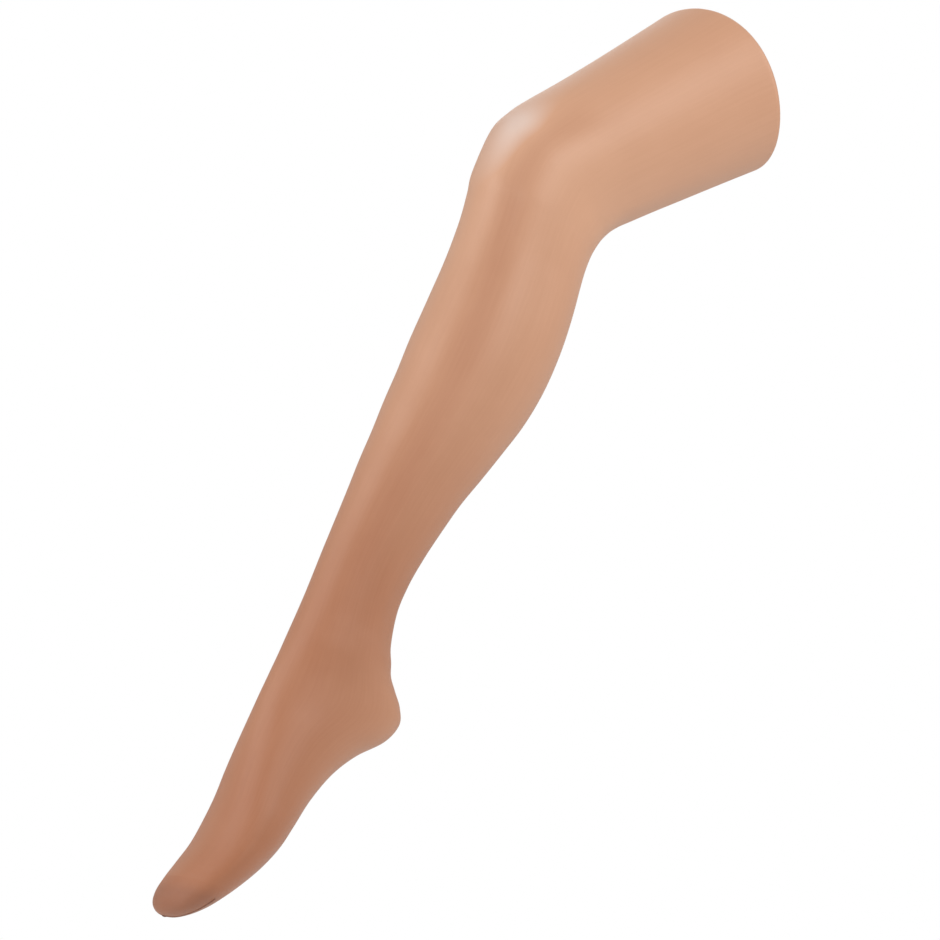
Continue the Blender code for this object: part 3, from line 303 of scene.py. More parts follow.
def plain_ring(s, turn, inset=0.0):
    """Point of the plain ellipse in metres: middle + depth cos t in the plane, half width sin t. The
    inset makes both the depth and the half width that much less."""
    row = along(STATIONS, s)
    front, back, half, shift = row[..., 0:2], row[..., 2:4], row[..., 4] - inset, row[..., 5]
    across = front - back
    across = across * (np.asarray(inset) / np.maximum(np.linalg.norm(across, axis=-1), 1e-9))[..., None]
    front, back = front - across, back + across
    c = np.cos(turn)[..., None]
    flat = (front + back) / 2 + (front - back) / 2 * c
    return np.stack([flat[..., 0], shift - half * np.sin(turn), flat[..., 1]], -1) * MM


def normals(s, turn):
    """Outward unit normals of the plain surface, from central differences."""
    ds, dt = 0.4, 0.004      # millimetres and radians
    down = plain_ring(s + ds, turn) - plain_ring(s - ds, turn)
    across = plain_ring(s, turn + dt) - plain_ring(s, turn - dt)
    normal = np.cross(down, across)
    size = np.linalg.norm(normal, axis=-1, keepdims=True)
    return normal / np.maximum(size, 1e-14)


def skin(s, turn, inset=0.0):
    """The finished surface, or a layer that far under it."""
    s, turn = np.broadcast_arrays(np.asarray(s, float), turn)
    lift = (relief(s, turn) - inset) * MM
    point = plain_ring(s, turn) + normals(np.minimum(s, TOE_POLE - 0.6), turn) * lift[..., None]
    at_pole = s >= TOE_POLE - 1e-6
    if at_pole.any():
        tip = foot_place(FOOT_TIP[0] - inset, FOOT_TIP[1])
        point[at_pole] = np.array([tip[0], TOE_SHIFT, tip[1]]) * MM
    return point


def turns(columns=AROUND):
    """One row of turns, evenly spaced round a ring."""
    return (np.arange(columns) * 2 * pi / columns)[None, :]


def brim(turn):
    """Height of the rim above the knee round the thigh: higher on the outer side, lower in front."""
    return (BRIM_HEIGHT - BRIM_BACK_RISE * np.cos(turn) + BRIM_OUTER_RISE * np.sin(turn)
            + BRIM_TWIST * np.sin(2 * turn))


def toe_line(turn):
    """Station where a slanted plane across the toes cuts the surface, found by a few repeats: read the
    height of the surface at a station, then the station whose top lies where the plane is at that height."""
    (top, top_z), (low, low_z) = TOE_LINE
    s = np.full(turn.shape, 600.0)
    foot = STATIONS[STATIONS[:, 0] >= 524]
    ahead_of = np.column_stack([foot[:-1, 0], (foot[:-1, 1:3] - ANKLE_PIN) @ AHEAD_FOOT])
    for _ in range(6):
        point = plain_ring(s, turn) / MM
        high = (point[..., [0, 2]] - ANKLE_PIN) @ UP_FOOT
        wanted = low + (top - low) * (high - low_z) / (top_z - low_z)
        s = np.interp(wanted, ahead_of[:, 1], ahead_of[:, 0])
    return s


# ------------------------------------------------------------------ meshes from arrays
def grid_quads(rows, columns):
    """Corner rows and corner columns of each quad between closed rings, outward for rings laid down the
    limb with their turns counted from the front to the outer side. The last quad of a ring has corners
    in the column past its end, which is its first."""
    r, c = (a.ravel() for a in np.meshgrid(np.arange(rows - 1), np.arange(columns), indexing="ij"))
    return np.stack([r, r + 1, r + 1, r], 1), np.stack([c, c, c + 1, c + 1], 1)


def build_mesh(name, points, quads, uv, tones=None):
    """Mesh object from arrays; corners that meet are merged, so poles close, and tones is a value at
    each point that the finish reads."""
    mesh = bpy.data.meshes.new(name)
    mesh.vertices.add(len(points))
    mesh.vertices.foreach_set("co", points.astype(np.float32).ravel())
    mesh.loops.add(quads.size)
    mesh.loops.foreach_set("vertex_index", quads.astype(np.int32).ravel())
    mesh.polygons.add(len(quads))
    mesh.polygons.foreach_set("loop_start", np.arange(0, quads.size, 4, dtype=np.int32))
    mesh.update(calc_edges=True)
    layer = mesh.uv_layers.new(name="lay")
    layer.data.foreach_set("uv", uv.astype(np.float32).ravel())
    if tones is not None:
        attribute = mesh.attributes.new("tone", "FLOAT", "POINT")
        attribute.data.foreach_set("value", tones.astype(np.float32).ravel())
    made = bpy.data.objects.new(name, mesh)
    bpy.context.scene.collection.objects.link(made)
    work = bmesh.new()
    work.from_mesh(mesh)
    bmesh.ops.remove_doubles(work, verts=work.verts, dist=MERGE)
    loose = [e for e in work.edges if not e.link_faces]
    bmesh.ops.delete(work, geom=loose, context="EDGES")
    work.to_mesh(mesh)
    work.free()
    mesh.polygons.foreach_set("use_smooth", np.ones(len(mesh.polygons), bool))
    mesh.set_sharp_from_angle(angle=radians(SHARP_ANGLE))
    return made


def ring_stack(name, rings):
    """Mesh of a stack of closed rings, one row of points to a ring."""
    rows, columns = rings.shape[:2]
    corner_rows, corner_columns = grid_quads(rows, columns)
    quads = corner_rows * columns + corner_columns % columns
    uv = np.stack([corner_columns / columns, corner_rows / (rows - 1)], -1)
    return build_mesh(name, rings.reshape(-1, 3), quads, uv)


def walled(name, outer, inner, uv_size, keep=None, tones=None):
    """Closed wall between two matching stacks of rings. keep says which quads stay, so a wall may
    have holes; every edge that has a quad on one side only gets a face between the two layers."""
    rows, columns = outer.shape[:2]
    corner_rows, corner_columns = grid_quads(rows, columns)
    if keep is not None:
        corner_rows, corner_columns = corner_rows[keep], corner_columns[keep]
    quads = corner_rows * columns + corner_columns % columns
    uv = np.stack([corner_columns / columns * uv_size[0], corner_rows / (rows - 1) * uv_size[1]], -1)
    count = rows * columns
    start, end = quads, np.roll(quads, -1, axis=1)
    key = np.minimum(start, end).astype(np.int64) * count + np.maximum(start, end)
    _, where, times = np.unique(key, return_inverse=True, return_counts=True)
    open_edge = (times[where.reshape(key.shape)] == 1)
    a, b = start[open_edge], end[open_edge]
    outer_points, inner_points = outer.reshape(-1, 3), inner.reshape(-1, 3)
    long_enough = np.linalg.norm(outer_points[a] - outer_points[b], axis=1) > 2 * MERGE
    uv_a, uv_b = uv[open_edge][long_enough], np.roll(uv, -1, axis=1)[open_edge][long_enough]
    a, b = a[long_enough], b[long_enough]
    rim = np.stack([b, a, a + count, b + count], 1)
    quads = np.concatenate([quads, quads[:, ::-1] + count, rim])
    uv = np.concatenate([uv, uv[:, ::-1], np.stack([uv_b, uv_a, uv_a, uv_b], 1)])
    both = None if tones is None else np.concatenate([tones.ravel(), tones.ravel()])
    return build_mesh(name, np.concatenate([outer_points, inner_points]), quads, uv, both)


# ------------------------------------------------------------------ nodes of a finish
class Finish:
    """A Principled material with helpers to wire its nodes."""

    def __init__(self, name, roughness=0.5, metallic=0.0):
        self.material = bpy.data.materials.new(name)
        self.material.use_nodes = True
        self.nodes = self.material.node_tree.nodes
        self.links = self.material.node_tree.links
        self.shader = next(n for n in self.nodes if n.type == "BSDF_PRINCIPLED")
        self.shader.inputs["Roughness"].default_value = roughness
        self.shader.inputs["Metallic"].default_value = metallic

    def add(self, kind, **inputs):
        node = self.nodes.new(kind)
        for name, value in inputs.items():
            socket = node.inputs[name.replace("_", " ")]
            if isinstance(value, bpy.types.NodeSocket):
                self.links.new(value, socket)
            else:
                socket.default_value = value
        return node

    def place(self, scale=(1, 1, 1), source="Object", turn=(0, 0, 0)):
        """Object coordinates (or the piece's own UV map) scaled and turned."""
        if source == "Object":
            out = self.add("ShaderNodeTexCoord").outputs["Object"]
        else:
            out = self.add("ShaderNodeUVMap").outputs["UV"]
        return self.add("ShaderNodeMapping", Vector=out, Scale=scale, Rotation=turn).outputs["Vector"]

    def noise(self, where, scale, detail=2.0, rough=0.5):
        made = self.add("ShaderNodeTexNoise", Vector=where, Scale=scale, Detail=detail, Roughness=rough)
        return made.outputs["Fac"]

    def math(self, kind, a, b, limit=False):
        node = self.nodes.new("ShaderNodeMath")
        node.operation = kind
        node.use_clamp = limit
        for socket, value in zip(node.inputs, (a, b)):
            if isinstance(value, bpy.types.NodeSocket):
                self.links.new(value, socket)
            else:
                socket.default_value = value
        return node.outputs[0]

    def spread(self, value, low, high, to_low, to_high):
        node = self.add("ShaderNodeMapRange", Value=value)
        for name, number in (("From Min", low), ("From Max", high), ("To Min", to_low), ("To Max", to_high)):
            node.inputs[name].default_value = number
        return node.outputs["Result"]

    def mix(self, amount, a, b):
        node = self.nodes.new("ShaderNodeMix")
        node.data_type = "RGBA"
        for socket, value in ((node.inputs[0], amount), (node.inputs[6], a), (node.inputs[7], b)):
            if isinstance(value, bpy.types.NodeSocket):
                self.links.new(value, socket)
            elif socket == node.inputs[0]:
                socket.default_value = value
            else:
                socket.default_value = (*value[:3], 1.0)
        return node.outputs[2]

    def colour(self, value):
        if isinstance(value, bpy.types.NodeSocket):
            self.links.new(value, self.shader.inputs["Base Color"])
        else:
            self.shader.inputs["Base Color"].default_value = (*value[:3], 1.0)

    def rough(self, value):
        self.links.new(value, self.shader.inputs["Roughness"])

    def bump(self, height, distance, strength=1.0):
        node = self.add("ShaderNodeBump", Height=height, Strength=strength, Distance=distance)
        self.links.new(node.outputs["Normal"], self.shader.inputs["Normal"])

    def set(self, **values):
        for name, value in values.items():
            self.shader.inputs[name.replace("_", " ")].default_value = value
        return self.material


def mixed(colour, other, share):
    """A colour with a share of another in it."""
    return tuple(a * (1 - share) + b * share for a, b in zip(colour, other))


def nylon_finish(name, thin, dense, rough=0.44, ribs=1.0):
    """Sheer knit. Its tone is 0 where it lies dense, 1 where it is stretched thin and pale, and more over
    the kneecap, where the foam shows through and a highlight is painted; the tone also carries painted
    highlights along the front and over the heel, and painted shade in the groove beside the knee. Wales
    run down the limb and courses round it; both come from the piece's UV map, in millimetres of cloth."""
    look = Finish(name, rough)
    tone = look.add("ShaderNodeAttribute")
    tone.attribute_name = "tone"
    streak = look.noise(look.place((0.5, 0.02, 1), "UV"), 1.0, 3.0)
    cloud = look.noise(look.place((18, 18, 18)), 1.0, 2.0)
    amount = look.math("ADD", tone.outputs["Fac"], look.spread(streak, 0.3, 0.7, -0.035, 0.035))
    amount = look.math("ADD", amount, look.spread(cloud, 0.3, 0.7, -0.03, 0.03), limit=True)
    knit = look.place((1, 1, 1), "UV")
    split = look.add("ShaderNodeSeparateXYZ", Vector=knit)
    wale = look.math("SINE", look.math("MULTIPLY", split.outputs[0], 2 * pi / WALE), 0.0)
    course = look.math("SINE", look.math("MULTIPLY", split.outputs[1], 2 * pi / COURSE), 0.0)
    stitch = look.math("ADD", look.math("MULTIPLY", wale, 0.6), look.math("MULTIPLY", course, 0.4))
    shade = look.spread(stitch, -1.0, 1.0, 0.03, -0.03)
    cloth = look.mix(look.math("ADD", amount, shade, limit=True), dense, thin)
    # whitish over the kneecap: foam showing through the stretched knit, and a painted highlight
    foam_and_highlight = look.spread(tone.outputs["Fac"], 1.0, STRETCH_AND_HIGHLIGHT_TOP, 0.0, 1.0)
    look.colour(look.mix(foam_and_highlight, cloth, mixed(thin, (1.0, 0.9, 0.85), 0.5)))
    look.bump(stitch, 0.00005 * ribs, 0.5)
    look.rough(look.spread(streak, 0.3, 0.7, rough - 0.04, rough + 0.04))
    look.shader.inputs["Sheen Tint"].default_value = (1.0, 0.86, 0.76, 1.0)
    return look.set(Sheen_Weight=0.14, Sheen_Roughness=0.45, Specular_IOR_Level=0.7)


def foam_finish(name, pale, deep, pore=0.0011):
    """Cut open-cell foam: round pores of two sizes, with painted shade on their floors."""
    look = Finish(name, 0.88)
    where = look.place()
    fine = look.add("ShaderNodeTexVoronoi", Vector=where, Scale=1 / pore)
    large = look.add("ShaderNodeTexVoronoi", Vector=where, Scale=0.45 / pore)
    depth = look.math("MULTIPLY", look.spread(fine.outputs["Distance"], 0.0, 0.5, 0.0, 1.0),
                     look.spread(large.outputs["Distance"], 0.0, 0.35, 0.4, 1.0))
    stain = look.noise(where, 14.0, 3.0)
    body = look.mix(look.spread(stain, 0.3, 0.7, 0.0, 1.0), mixed(pale, deep, 0.35), pale)
    # painted shade: darker towards the bottom of each pore
    look.colour(look.mix(depth, deep, body))
    look.bump(depth, 0.0004, 0.6)
    return look.set(Sheen_Weight=0.1, Specular_IOR_Level=0.25)


def metal_finish(name, colour, rough, streak_axis=2, tint=0.12):
    """Turned or brushed metal: fine scratches along one axis, cloudy handling marks."""
    look = Finish(name, rough, 1.0)
    scale = [900.0, 900.0, 900.0]
    scale[streak_axis] = 30.0
    scratch = look.noise(look.place(tuple(scale)), 1.0, 4.0, 0.6)
    cloud = look.noise(look.place(), 60.0, 3.0)
    look.colour(look.mix(look.spread(cloud, 0.35, 0.65, 0.0, 1.0), mixed(colour, (0, 0, 0), tint), colour))
    look.rough(look.math("ADD", look.spread(scratch, 0.3, 0.7, rough - 0.07, rough + 0.09),
                        look.spread(cloud, 0.3, 0.7, -0.03, 0.05)))
    look.bump(scratch, 0.00003, 0.5)
    return look.material


def plastic_finish(name, colour, rough, grain=2500.0):
    """Moulded plastic, gel or rubber: a fine grain, slightly cloudy gloss."""
    look = Finish(name, rough)
    where = look.place()
    speck = look.noise(where, grain, 2.0)
    cloud = look.noise(where, 90.0, 2.0)
    look.colour(look.mix(look.spread(cloud, 0.35, 0.65, 0.0, 1.0), colour, mixed(colour, (1, 1, 1), 0.05)))
    look.rough(look.spread(cloud, 0.3, 0.7, rough - 0.05, rough + 0.06))
    look.bump(speck, 0.00004, 0.5)
    return look.material


def woven_finish(name, dark, light, cell=0.0022, coat=0.6):
    """Twill laid in clear resin: light and dark tows over and under each other, steps by diagonal."""
    look = Finish(name, 0.42)
    where = look.place((1 / cell, 1 / cell, 1 / cell), turn=(0.0, radians(67.0), radians(45.0)))
    check = look.add("ShaderNodeTexChecker", Vector=where, Scale=1.0)
    split = look.add("ShaderNodeSeparateXYZ", Vector=where)
    thread = look.math("SINE", look.math("MULTIPLY", split.outputs[0], 6 * pi), 0.0)
    other = look.math("SINE", look.math("MULTIPLY", split.outputs[2], 6 * pi), 0.0)
    tow = look.mix(check.outputs["Fac"], mixed(dark, light, 0.2), light)
    strand = look.math("MULTIPLY", look.math("ADD", thread, other), 0.25)
    look.colour(look.mix(look.math("ADD", strand, 0.5, limit=True), dark, tow))
    look.bump(check.outputs["Fac"], 0.00004, 0.4)
    return look.set(Coat_Weight=coat, Coat_Roughness=0.12)


# ------------------------------------------------------------------ sizes and colours
def length(name, words, value, low=0.0, high=1.0):
    return bpy.props.FloatProperty(name=name, description=words, default=value, min=low, max=high,
                                   subtype="DISTANCE", unit="LENGTH", precision=5)


def tint(name, words, value):
    return bpy.props.FloatVectorProperty(name=name, description=words, default=value, min=0.0, max=1.0,
                                         size=3, subtype="COLOR")


class LegSizes(bpy.types.PropertyGroup):
    nylon: length("Nylon", "Thickness of the stocking's knit", 0.0006, 0.0002, 0.002)
    under_nylon: length("Under nylon", "From the stocking's outside to the foam", 0.0009, 0.0004, 0.003)
    hem: length("Hem", "Thickness of the doubled hem over the rim", 0.0009, 0.0004, 0.003)
    tuck: length("Tuck", "Depth the hem goes down between foam and socket", 0.007, 0.002, 0.02)
    liner: length("Liner", "Wall of the socket's foam liner", 0.006, 0.003, 0.012)
    pad_radius: length("Pad radius", "Radius of the pad the limb's end rests on", 0.031, 0.02, 0.04)
    valve_opening: length("Valve opening", "Radius of the opening in stocking and foam", 0.0145, 0.01, 0.02)
    camera_distance: length("Camera distance", "From the camera to the leg", 14.0, 1.0, 30.0)
    view_width: length("View width", "Width of what the camera sees at the leg", 0.7116, 0.3, 2.0)
    floor_drop: length("Floor drop", "From the toes down to the floor", 0.32, 0.0, 2.0)
    floor_radius: length("Floor radius", "Radius of the floor", 1.7, 0.5, 10.0)


class LegColours(bpy.types.PropertyGroup):
    nylon_thin: tint("Thin nylon", "Stocking where it is stretched", (0.735, 0.400, 0.245))
    nylon_dense: tint("Dense nylon", "Stocking where it lies dense", (0.45, 0.165, 0.072))
    toe: tint("Toe", "Reinforced toe", (0.37, 0.135, 0.062))
    foam: tint("Foam", "Cosmetic foam", (0.72, 0.47, 0.34))
    # painted shade on the floors of the foam's pores
    foam_pore_shade: tint("Foam pores", "Floors of the foam's pores", (0.42, 0.22, 0.14))
    liner: tint("Liner", "Closed-cell liner", (0.80, 0.70, 0.57))
    gel: tint("Gel", "End pad", (0.46, 0.50, 0.56))
    laminate: tint("Laminate", "Dark fibres of the socket and the keel", (0.012, 0.012, 0.014))
    valve: tint("Valve", "Valve body", (0.06, 0.06, 0.065))
    button: tint("Button", "Push buttons", (0.42, 0.05, 0.035))
    floor: tint("Floor", "Paper of the floor", (0.93, 0.93, 0.93))


def sizes():
    return bpy.context.scene.leg_sizes


def colours():
    return bpy.context.scene.leg_colours


def wear(piece, finish):
    """Give a piece its finish."""
    piece.data.materials.clear()
    piece.data.materials.append(finish)
    return piece


def tone(s, turn):
    """Paleness of the knit: its stretch by station; paler over the kneecap and the heel, stretched knit with
    a painted highlight; a painted highlight along the front; painted shade in the groove beside the knee."""
    # painted shade: darker in the groove beside the knee
    value = along(TONE, s)[..., 0] - GROOVE_PAINTED_SHADE * groove(s, turn, GROOVE_PAINTED_SHADE_WIDTH)
    # painted highlight: paler along the front
    value = value + SHIN_PAINTED_HIGHLIGHT * np.exp(-(around(turn, 0.0) / SHIN_PAINTED_HIGHLIGHT_WIDTH)**2)
    # kneecap and heel: paler from the stretched knit and from a painted highlight
    for share, *place in STRETCH_AND_HIGHLIGHT_SPOTS:
        value = value + share * mound(s, turn, *place)
    return np.clip(value, 0, STRETCH_AND_HIGHLIGHT_TOP)


def edge_rows(start, stop, count):
    """Rows of stations evenly spaced between two, either of which may vary round the limb."""
    share = np.linspace(0, 1, count)[:, None]
    return start + (stop - start) * share


def rim_rows(turn, up, out, start, stop, count):
    """Station and inset of rows over the rolled rim, from one angle of its roll to another: 0 on the
    outside, 90 on top, 180 on the inside. The roll's radius is up along the limb, out across it."""
    lift = np.radians(np.linspace(start, stop, count))[:, None]
    return -(brim(turn) - BRIM_ROLL + up * np.sin(lift)), BRIM_ROLL - out * np.cos(lift) + 0 * turn


def upper_rows(turn, deep, count):
    """Station and inset of a layer that far under the surface, from the rim's top to mid shank."""
    roll_s, roll_inset = rim_rows(turn, BRIM_ROLL - deep, BRIM_ROLL - deep, 90.0, 0.0, RIM_ROWS)
    rows = edge_rows(-(brim(turn) - BRIM_ROLL), MID_SHANK + 0 * turn, count)[1:]
    return np.concatenate([roll_s, rows]), np.concatenate([roll_inset, deep + 0 * rows])


def pierced(layer, centre, radius):
    """A layer of rings whose points within a radius of an axis along y, on the inner side, are moved
    straight out to that radius."""
    offset = layer[..., [0, 2]] - centre
    reach = np.linalg.norm(offset, axis=-1)
    inside = (reach < radius) & (layer[..., 1] > 0)
    moved = layer.copy()
    scale = radius / np.maximum(reach, 1e-9)
    edge = centre + offset * scale[..., None]
    for axis, column in ((0, 0), (2, 1)):
        moved[..., axis] = np.where(inside, edge[..., column], layer[..., axis])
    return moved, inside


def kept_quads(inside):
    """Quads with a corner outside the opening."""
    rows, columns = inside.shape
    corner_rows, corner_columns = grid_quads(rows, columns)
    return ~inside[corner_rows, corner_columns % columns].all(axis=1)


def valve_axis():
    """Where the valve's axis, along y, stands: x and z in metres."""
    low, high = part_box("valve_body")
    return np.array([(low.x + high.x) / 2, (low.z + high.z) / 2])


def core(s, turn):
    """Inside of the foam cover; past the keel it closes as a round end."""
    point = plain_ring(s, turn, along(CORE, s)[..., 0])
    middle = plain_ring(s, turn * 0, 0.0) / 2 + plain_ring(s, turn * 0 + pi, 0.0) / 2
    past = np.maximum(s - (CORE_END - CORE_ROUND), 0)
    close = np.sqrt(np.clip(1 - (past / CORE_ROUND)**2, 0, 1))
    return middle + (point - middle) * close[..., None]


def upper_tube(size, finish, turn):
    """Stocking from the rim's top to mid shank, with the opening over the valve."""
    thick, axis = size.nylon / MM, valve_axis()
    s, inset = upper_rows(turn, 0.0, 178)
    under, under_inset = upper_rows(turn, thick, 178)
    outer, inside = pierced(skin(s, turn, inset), axis, size.valve_opening)
    inner, _ = pierced(skin(under, turn, under_inset), axis, size.valve_opening)
    made = walled("stocking_upper", outer, inner, UPPER_CLOTH, kept_quads(inside), tone(s, turn + 0 * s))
    wear(made, finish)
    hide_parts("stocking_thigh", "stocking_shank")
    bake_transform(made)
    return made


def lower_tube(size, finish, turn):
    """Stocking from mid shank to the toe line."""
    s = edge_rows(MID_SHANK + 0 * turn, toe_line(turn), 200)
    made = walled("stocking_lower", skin(s, turn), skin(s, turn, size.nylon / MM), LOWER_CLOTH, None,
                  tone(s, turn + 0 * s))
    wear(made, finish)
    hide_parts("stocking_foot")
    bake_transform(made)
    return made


def toe_cap(size, colour, turn):
    """Denser knit from the toe line to the tip, which sets in gradually."""
    s = edge_rows(toe_line(turn), TOE_POLE + 0 * turn, 60)
    finish = nylon_finish("toe_nylon", colour.nylon_dense, colour.toe, 0.5, 1.5)
    made = walled("toe_cap", skin(s, turn), skin(s, turn, size.nylon / MM + TOE_EXTRA), TOE_CLOTH, None,
                  1 - smooth_step(s - toe_line(turn), 0.0, TOE_FADE))
    wear(made, finish)
    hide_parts("stocking_toe")
    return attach(made, "foot")


def hem_layer(turn, deep, tuck):
    """One side of the hem: over the rim's inner half and straight down inside. The deeper layer lies on
    the foam, so it is the outer side of a wall whose rings run down the limb."""
    s, inset = rim_rows(turn, BRIM_ROLL - deep, BRIM_ROLL - deep, 90.0, 180.0, 9)
    down = edge_rows(s[-1:], s[-1:] + tuck, 7)[1:]
    return plain_ring(np.concatenate([s, down]), turn, np.concatenate([inset, inset[-1:] + 0 * down]))


def hem(size, finish, turn):
    """Doubled hem over the inner half of the rim, tucked between the foam and the socket."""
    on_foam, on_socket = (hem_layer(turn, deep, size.tuck / MM) for deep in (size.hem / MM, 0.0))
    made = walled("hem", on_foam, on_socket, HEM_CLOTH, None, np.full(on_foam.shape[:2], HEM_TONE))
    wear(made, finish)
    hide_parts("stocking_welt")
    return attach(made, "thigh")


class LEG_OT_stocking(bpy.types.Operator):
    """Sheer stocking: an upper tube over thigh and knee, a lower one over ankle and foot"""
    bl_idname = "leg.stocking"
    bl_label = "Stocking"

    def execute(self, context):
        size, colour = sizes(), colours()
        finish = nylon_finish("sheer_nylon", colour.nylon_thin, colour.nylon_dense)
        turn = turns()
        upper, lower = upper_tube(size, finish, turn), lower_tube(size, finish, turn)
        toe, welt = toe_cap(size, colour, turn), hem(size, finish, turn)
        return {"FINISHED"}


class LEG_OT_toe_seam(bpy.types.Operator):
    """Closing seam of the stocking, stitched under the tips of the toes: a thread that falls back to both
    sides as the 2.2th power of the way, swells with its stitches and has a knot near its outer end"""
    bl_idname = "leg.toe_seam"
    bl_label = "Toe Seam"

    def execute(self, context):
        way = np.linspace(-1, 1, SEAM_POINTS)
        path = skin(SEAM_TIP - SEAM_BACK * np.abs(way)**2.2, pi + SEAM_REACH * pi * way, SEAM_SINK)
        swell = SEAM_THREAD + SEAM_SWELL * np.cos(way * SEAM_POINTS * pi / 2.5)
        knot = 1 + 0.5 * np.exp(-((way + 0.97) / 0.03)**2)
        made = tube_along("toe_stitching", path, swell * knot * MM, 10)
        finish = plastic_finish("seam_thread", mixed(colours().toe, (0, 0, 0), 0.35), 0.7, 4000.0)
        wear(made, finish)
        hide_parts("toe_seam")
        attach(made, "foot")
        return {"FINISHED"}


def upper_foam(size, finish, turn):
    """Foam from the rim to mid shank, with the room for the socket, the knee and the opening inside."""
    under, axis = size.under_nylon / MM, valve_axis()
    s, inset = upper_rows(turn, under, 150)
    rim = rim_rows(turn, BRIM_ROLL - under, BRIM_ROLL - FOAM_UNDER_HEM, 90.0, 180.0, RIM_ROWS)
    room = np.concatenate([plain_ring(rim[0], turn, rim[1]), core(s[RIM_ROWS:], turn)])
    outer, inside = pierced(skin(s, turn, inset), axis, size.valve_opening)
    inner, _ = pierced(room, axis, size.valve_opening)
    made = walled("foam_upper", outer, inner, UPPER_CLOTH, kept_quads(inside))
    wear(made, finish)
    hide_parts("cover_thigh", "cover_shank", "knee_cap_pad")
    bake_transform(made)


def lower_foam(size, finish, turn):
    """Foam from mid shank to the toes, with the room for the tube, the ankle and the keel inside."""
    s = edge_rows(MID_SHANK, TOE_POLE, 190) + 0 * turn
    room = core(edge_rows(MID_SHANK, CORE_END, 190) + 0 * turn, turn)
    made = walled("foam_lower", skin(s, turn, size.under_nylon / MM), room, FOOT_CLOTH)
    wear(made, finish)
    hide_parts("foot_shell")
    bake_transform(made)


class LEG_OT_foam_cover(bpy.types.Operator):
    """Soft foam cover that gives the leg its shape, in an upper and a lower part"""
    bl_idname = "leg.foam_cover"
    bl_label = "Foam Cover"

    def execute(self, context):
        size, colour = sizes(), colours()
        # the pores' floors get painted shade
        upper_foam(size, foam_finish("skin_foam", colour.foam, colour.foam_pore_shade), turns())
        # lighter painted shade on the floors of the foot foam's smaller pores
        fine = foam_finish("foot_foam", colour.foam, mixed(colour.foam_pore_shade, colour.foam, 0.3), 0.0008)
        lower_foam(size, fine, turns())
        return {"FINISHED"}


def cup_layer(inset, floor, drop, roll, side, turn):
    """Rings of one side of a cup: over its rounded rim, down the wall, then across the floor to its
    middle. The side is 1 for the outer layer and -1 for the inner one."""
    lift = np.radians(np.linspace(90.0, 0.0, 6))[:, None]
    rim = brim(turn) - drop
    wall = edge_rows(rim - roll, floor + 0 * turn, 44)[1:]
    height = np.concatenate([rim - roll + roll * np.sin(lift), wall])
    rounding = np.concatenate([side * (roll - roll * np.cos(lift)) + 0 * turn, 0 * wall])
    narrow = inset + SOCKET_TAPER * (BRIM_HEIGHT - height) / (BRIM_HEIGHT - SOCKET_FLOOR) + rounding
    points = plain_ring(-height, turn, narrow)
    middle = np.append(thigh_place(floor, SOCKET_SHIFT), 0.0)[[0, 2, 1]] * MM
    share = np.linspace(0, 1, 16)[1:, None, None]
    return np.concatenate([points, points[-1:] + (middle - points[-1:]) * share])


def cup(name, inset, thick, floor, base, drop, roll, cloth):
    """Cup with a hole for the valve, from the thicknesses of its wall and of its base."""
    turn, axis = turns(SOCKET_AROUND), valve_axis()
    outer, inside = pierced(cup_layer(inset, floor, drop, roll, 1, turn), axis, VALVE_HOLE * MM)
    inner, _ = pierced(cup_layer(inset + thick, floor + base, drop, roll, -1, turn), axis, VALVE_HOLE * MM)
    return walled(name, outer, inner, cloth, kept_quads(inside))


def socket_laminate(colour):
    """Hard shell inside the foam, a little below its rim."""
    made = cup("socket_laminate", FOAM_AT_BRIM + GAP, SOCKET_WALL, SOCKET_FLOOR, SOCKET_BASE, SOCKET_DROP,
               SOCKET_ROLL, SOCKET_CLOTH)
    wear(made, woven_finish("socket_laminate", colour.laminate, (0.09, 0.09, 0.10)))
    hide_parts("socket_shell")
    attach(made, "thigh")


def socket_liner(size, colour):
    """Soft cup inside the hard one, level with the foam's rim."""
    inset, floor = FOAM_AT_BRIM + SOCKET_WALL + 2 * GAP, SOCKET_FLOOR + SOCKET_BASE + GAP
    made = cup("liner", inset, size.liner / MM, floor, LINER_BASE, 0.0, LINER_ROLL, LINER_CLOTH)
    shade = mixed(colour.liner, (0.3, 0.2, 0.1), 0.45)
    wear(made, foam_finish("liner_foam", colour.liner, shade, 0.0006))
    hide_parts("socket_liner")
    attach(made, "thigh")


def gel_pad(size, colour):
    """Round pad on the liner's floor: a half-round edge, and a shallow groove round the flat top."""
    low, rim = SOCKET_FLOOR + SOCKET_BASE + LINER_BASE + 2 * GAP, size.pad_radius / MM
    edge, middle = (PAD_TOP - low) / 2, (PAD_TOP + low) / 2
    bend = np.radians(np.linspace(90, -90, 13))
    top = [(rim - inward, PAD_TOP - depth) for inward, depth in ((rim, 0.0), *PAD_GROOVE)]
    side = np.column_stack([rim - edge + edge * np.cos(bend), middle + edge * np.sin(bend)])
    made = lathe("gel_pad", np.concatenate([top, side, [(0.0, low)]]), 96)
    wear(made, plastic_finish("pad_gel", colour.gel, 0.38, 900.0))
    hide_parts("end_pad")
    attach(made, "thigh")


class LEG_OT_socket(bpy.types.Operator):
    """Rigid laminated socket with its soft liner and the pad that bears the limb's end"""
    bl_idname = "leg.socket"
    bl_label = "Socket"

    def execute(self, context):
        size, colour = sizes(), colours()
        socket_laminate(colour)
        socket_liner(size, colour)
        gel_pad(size, colour)
        return {"FINISHED"}


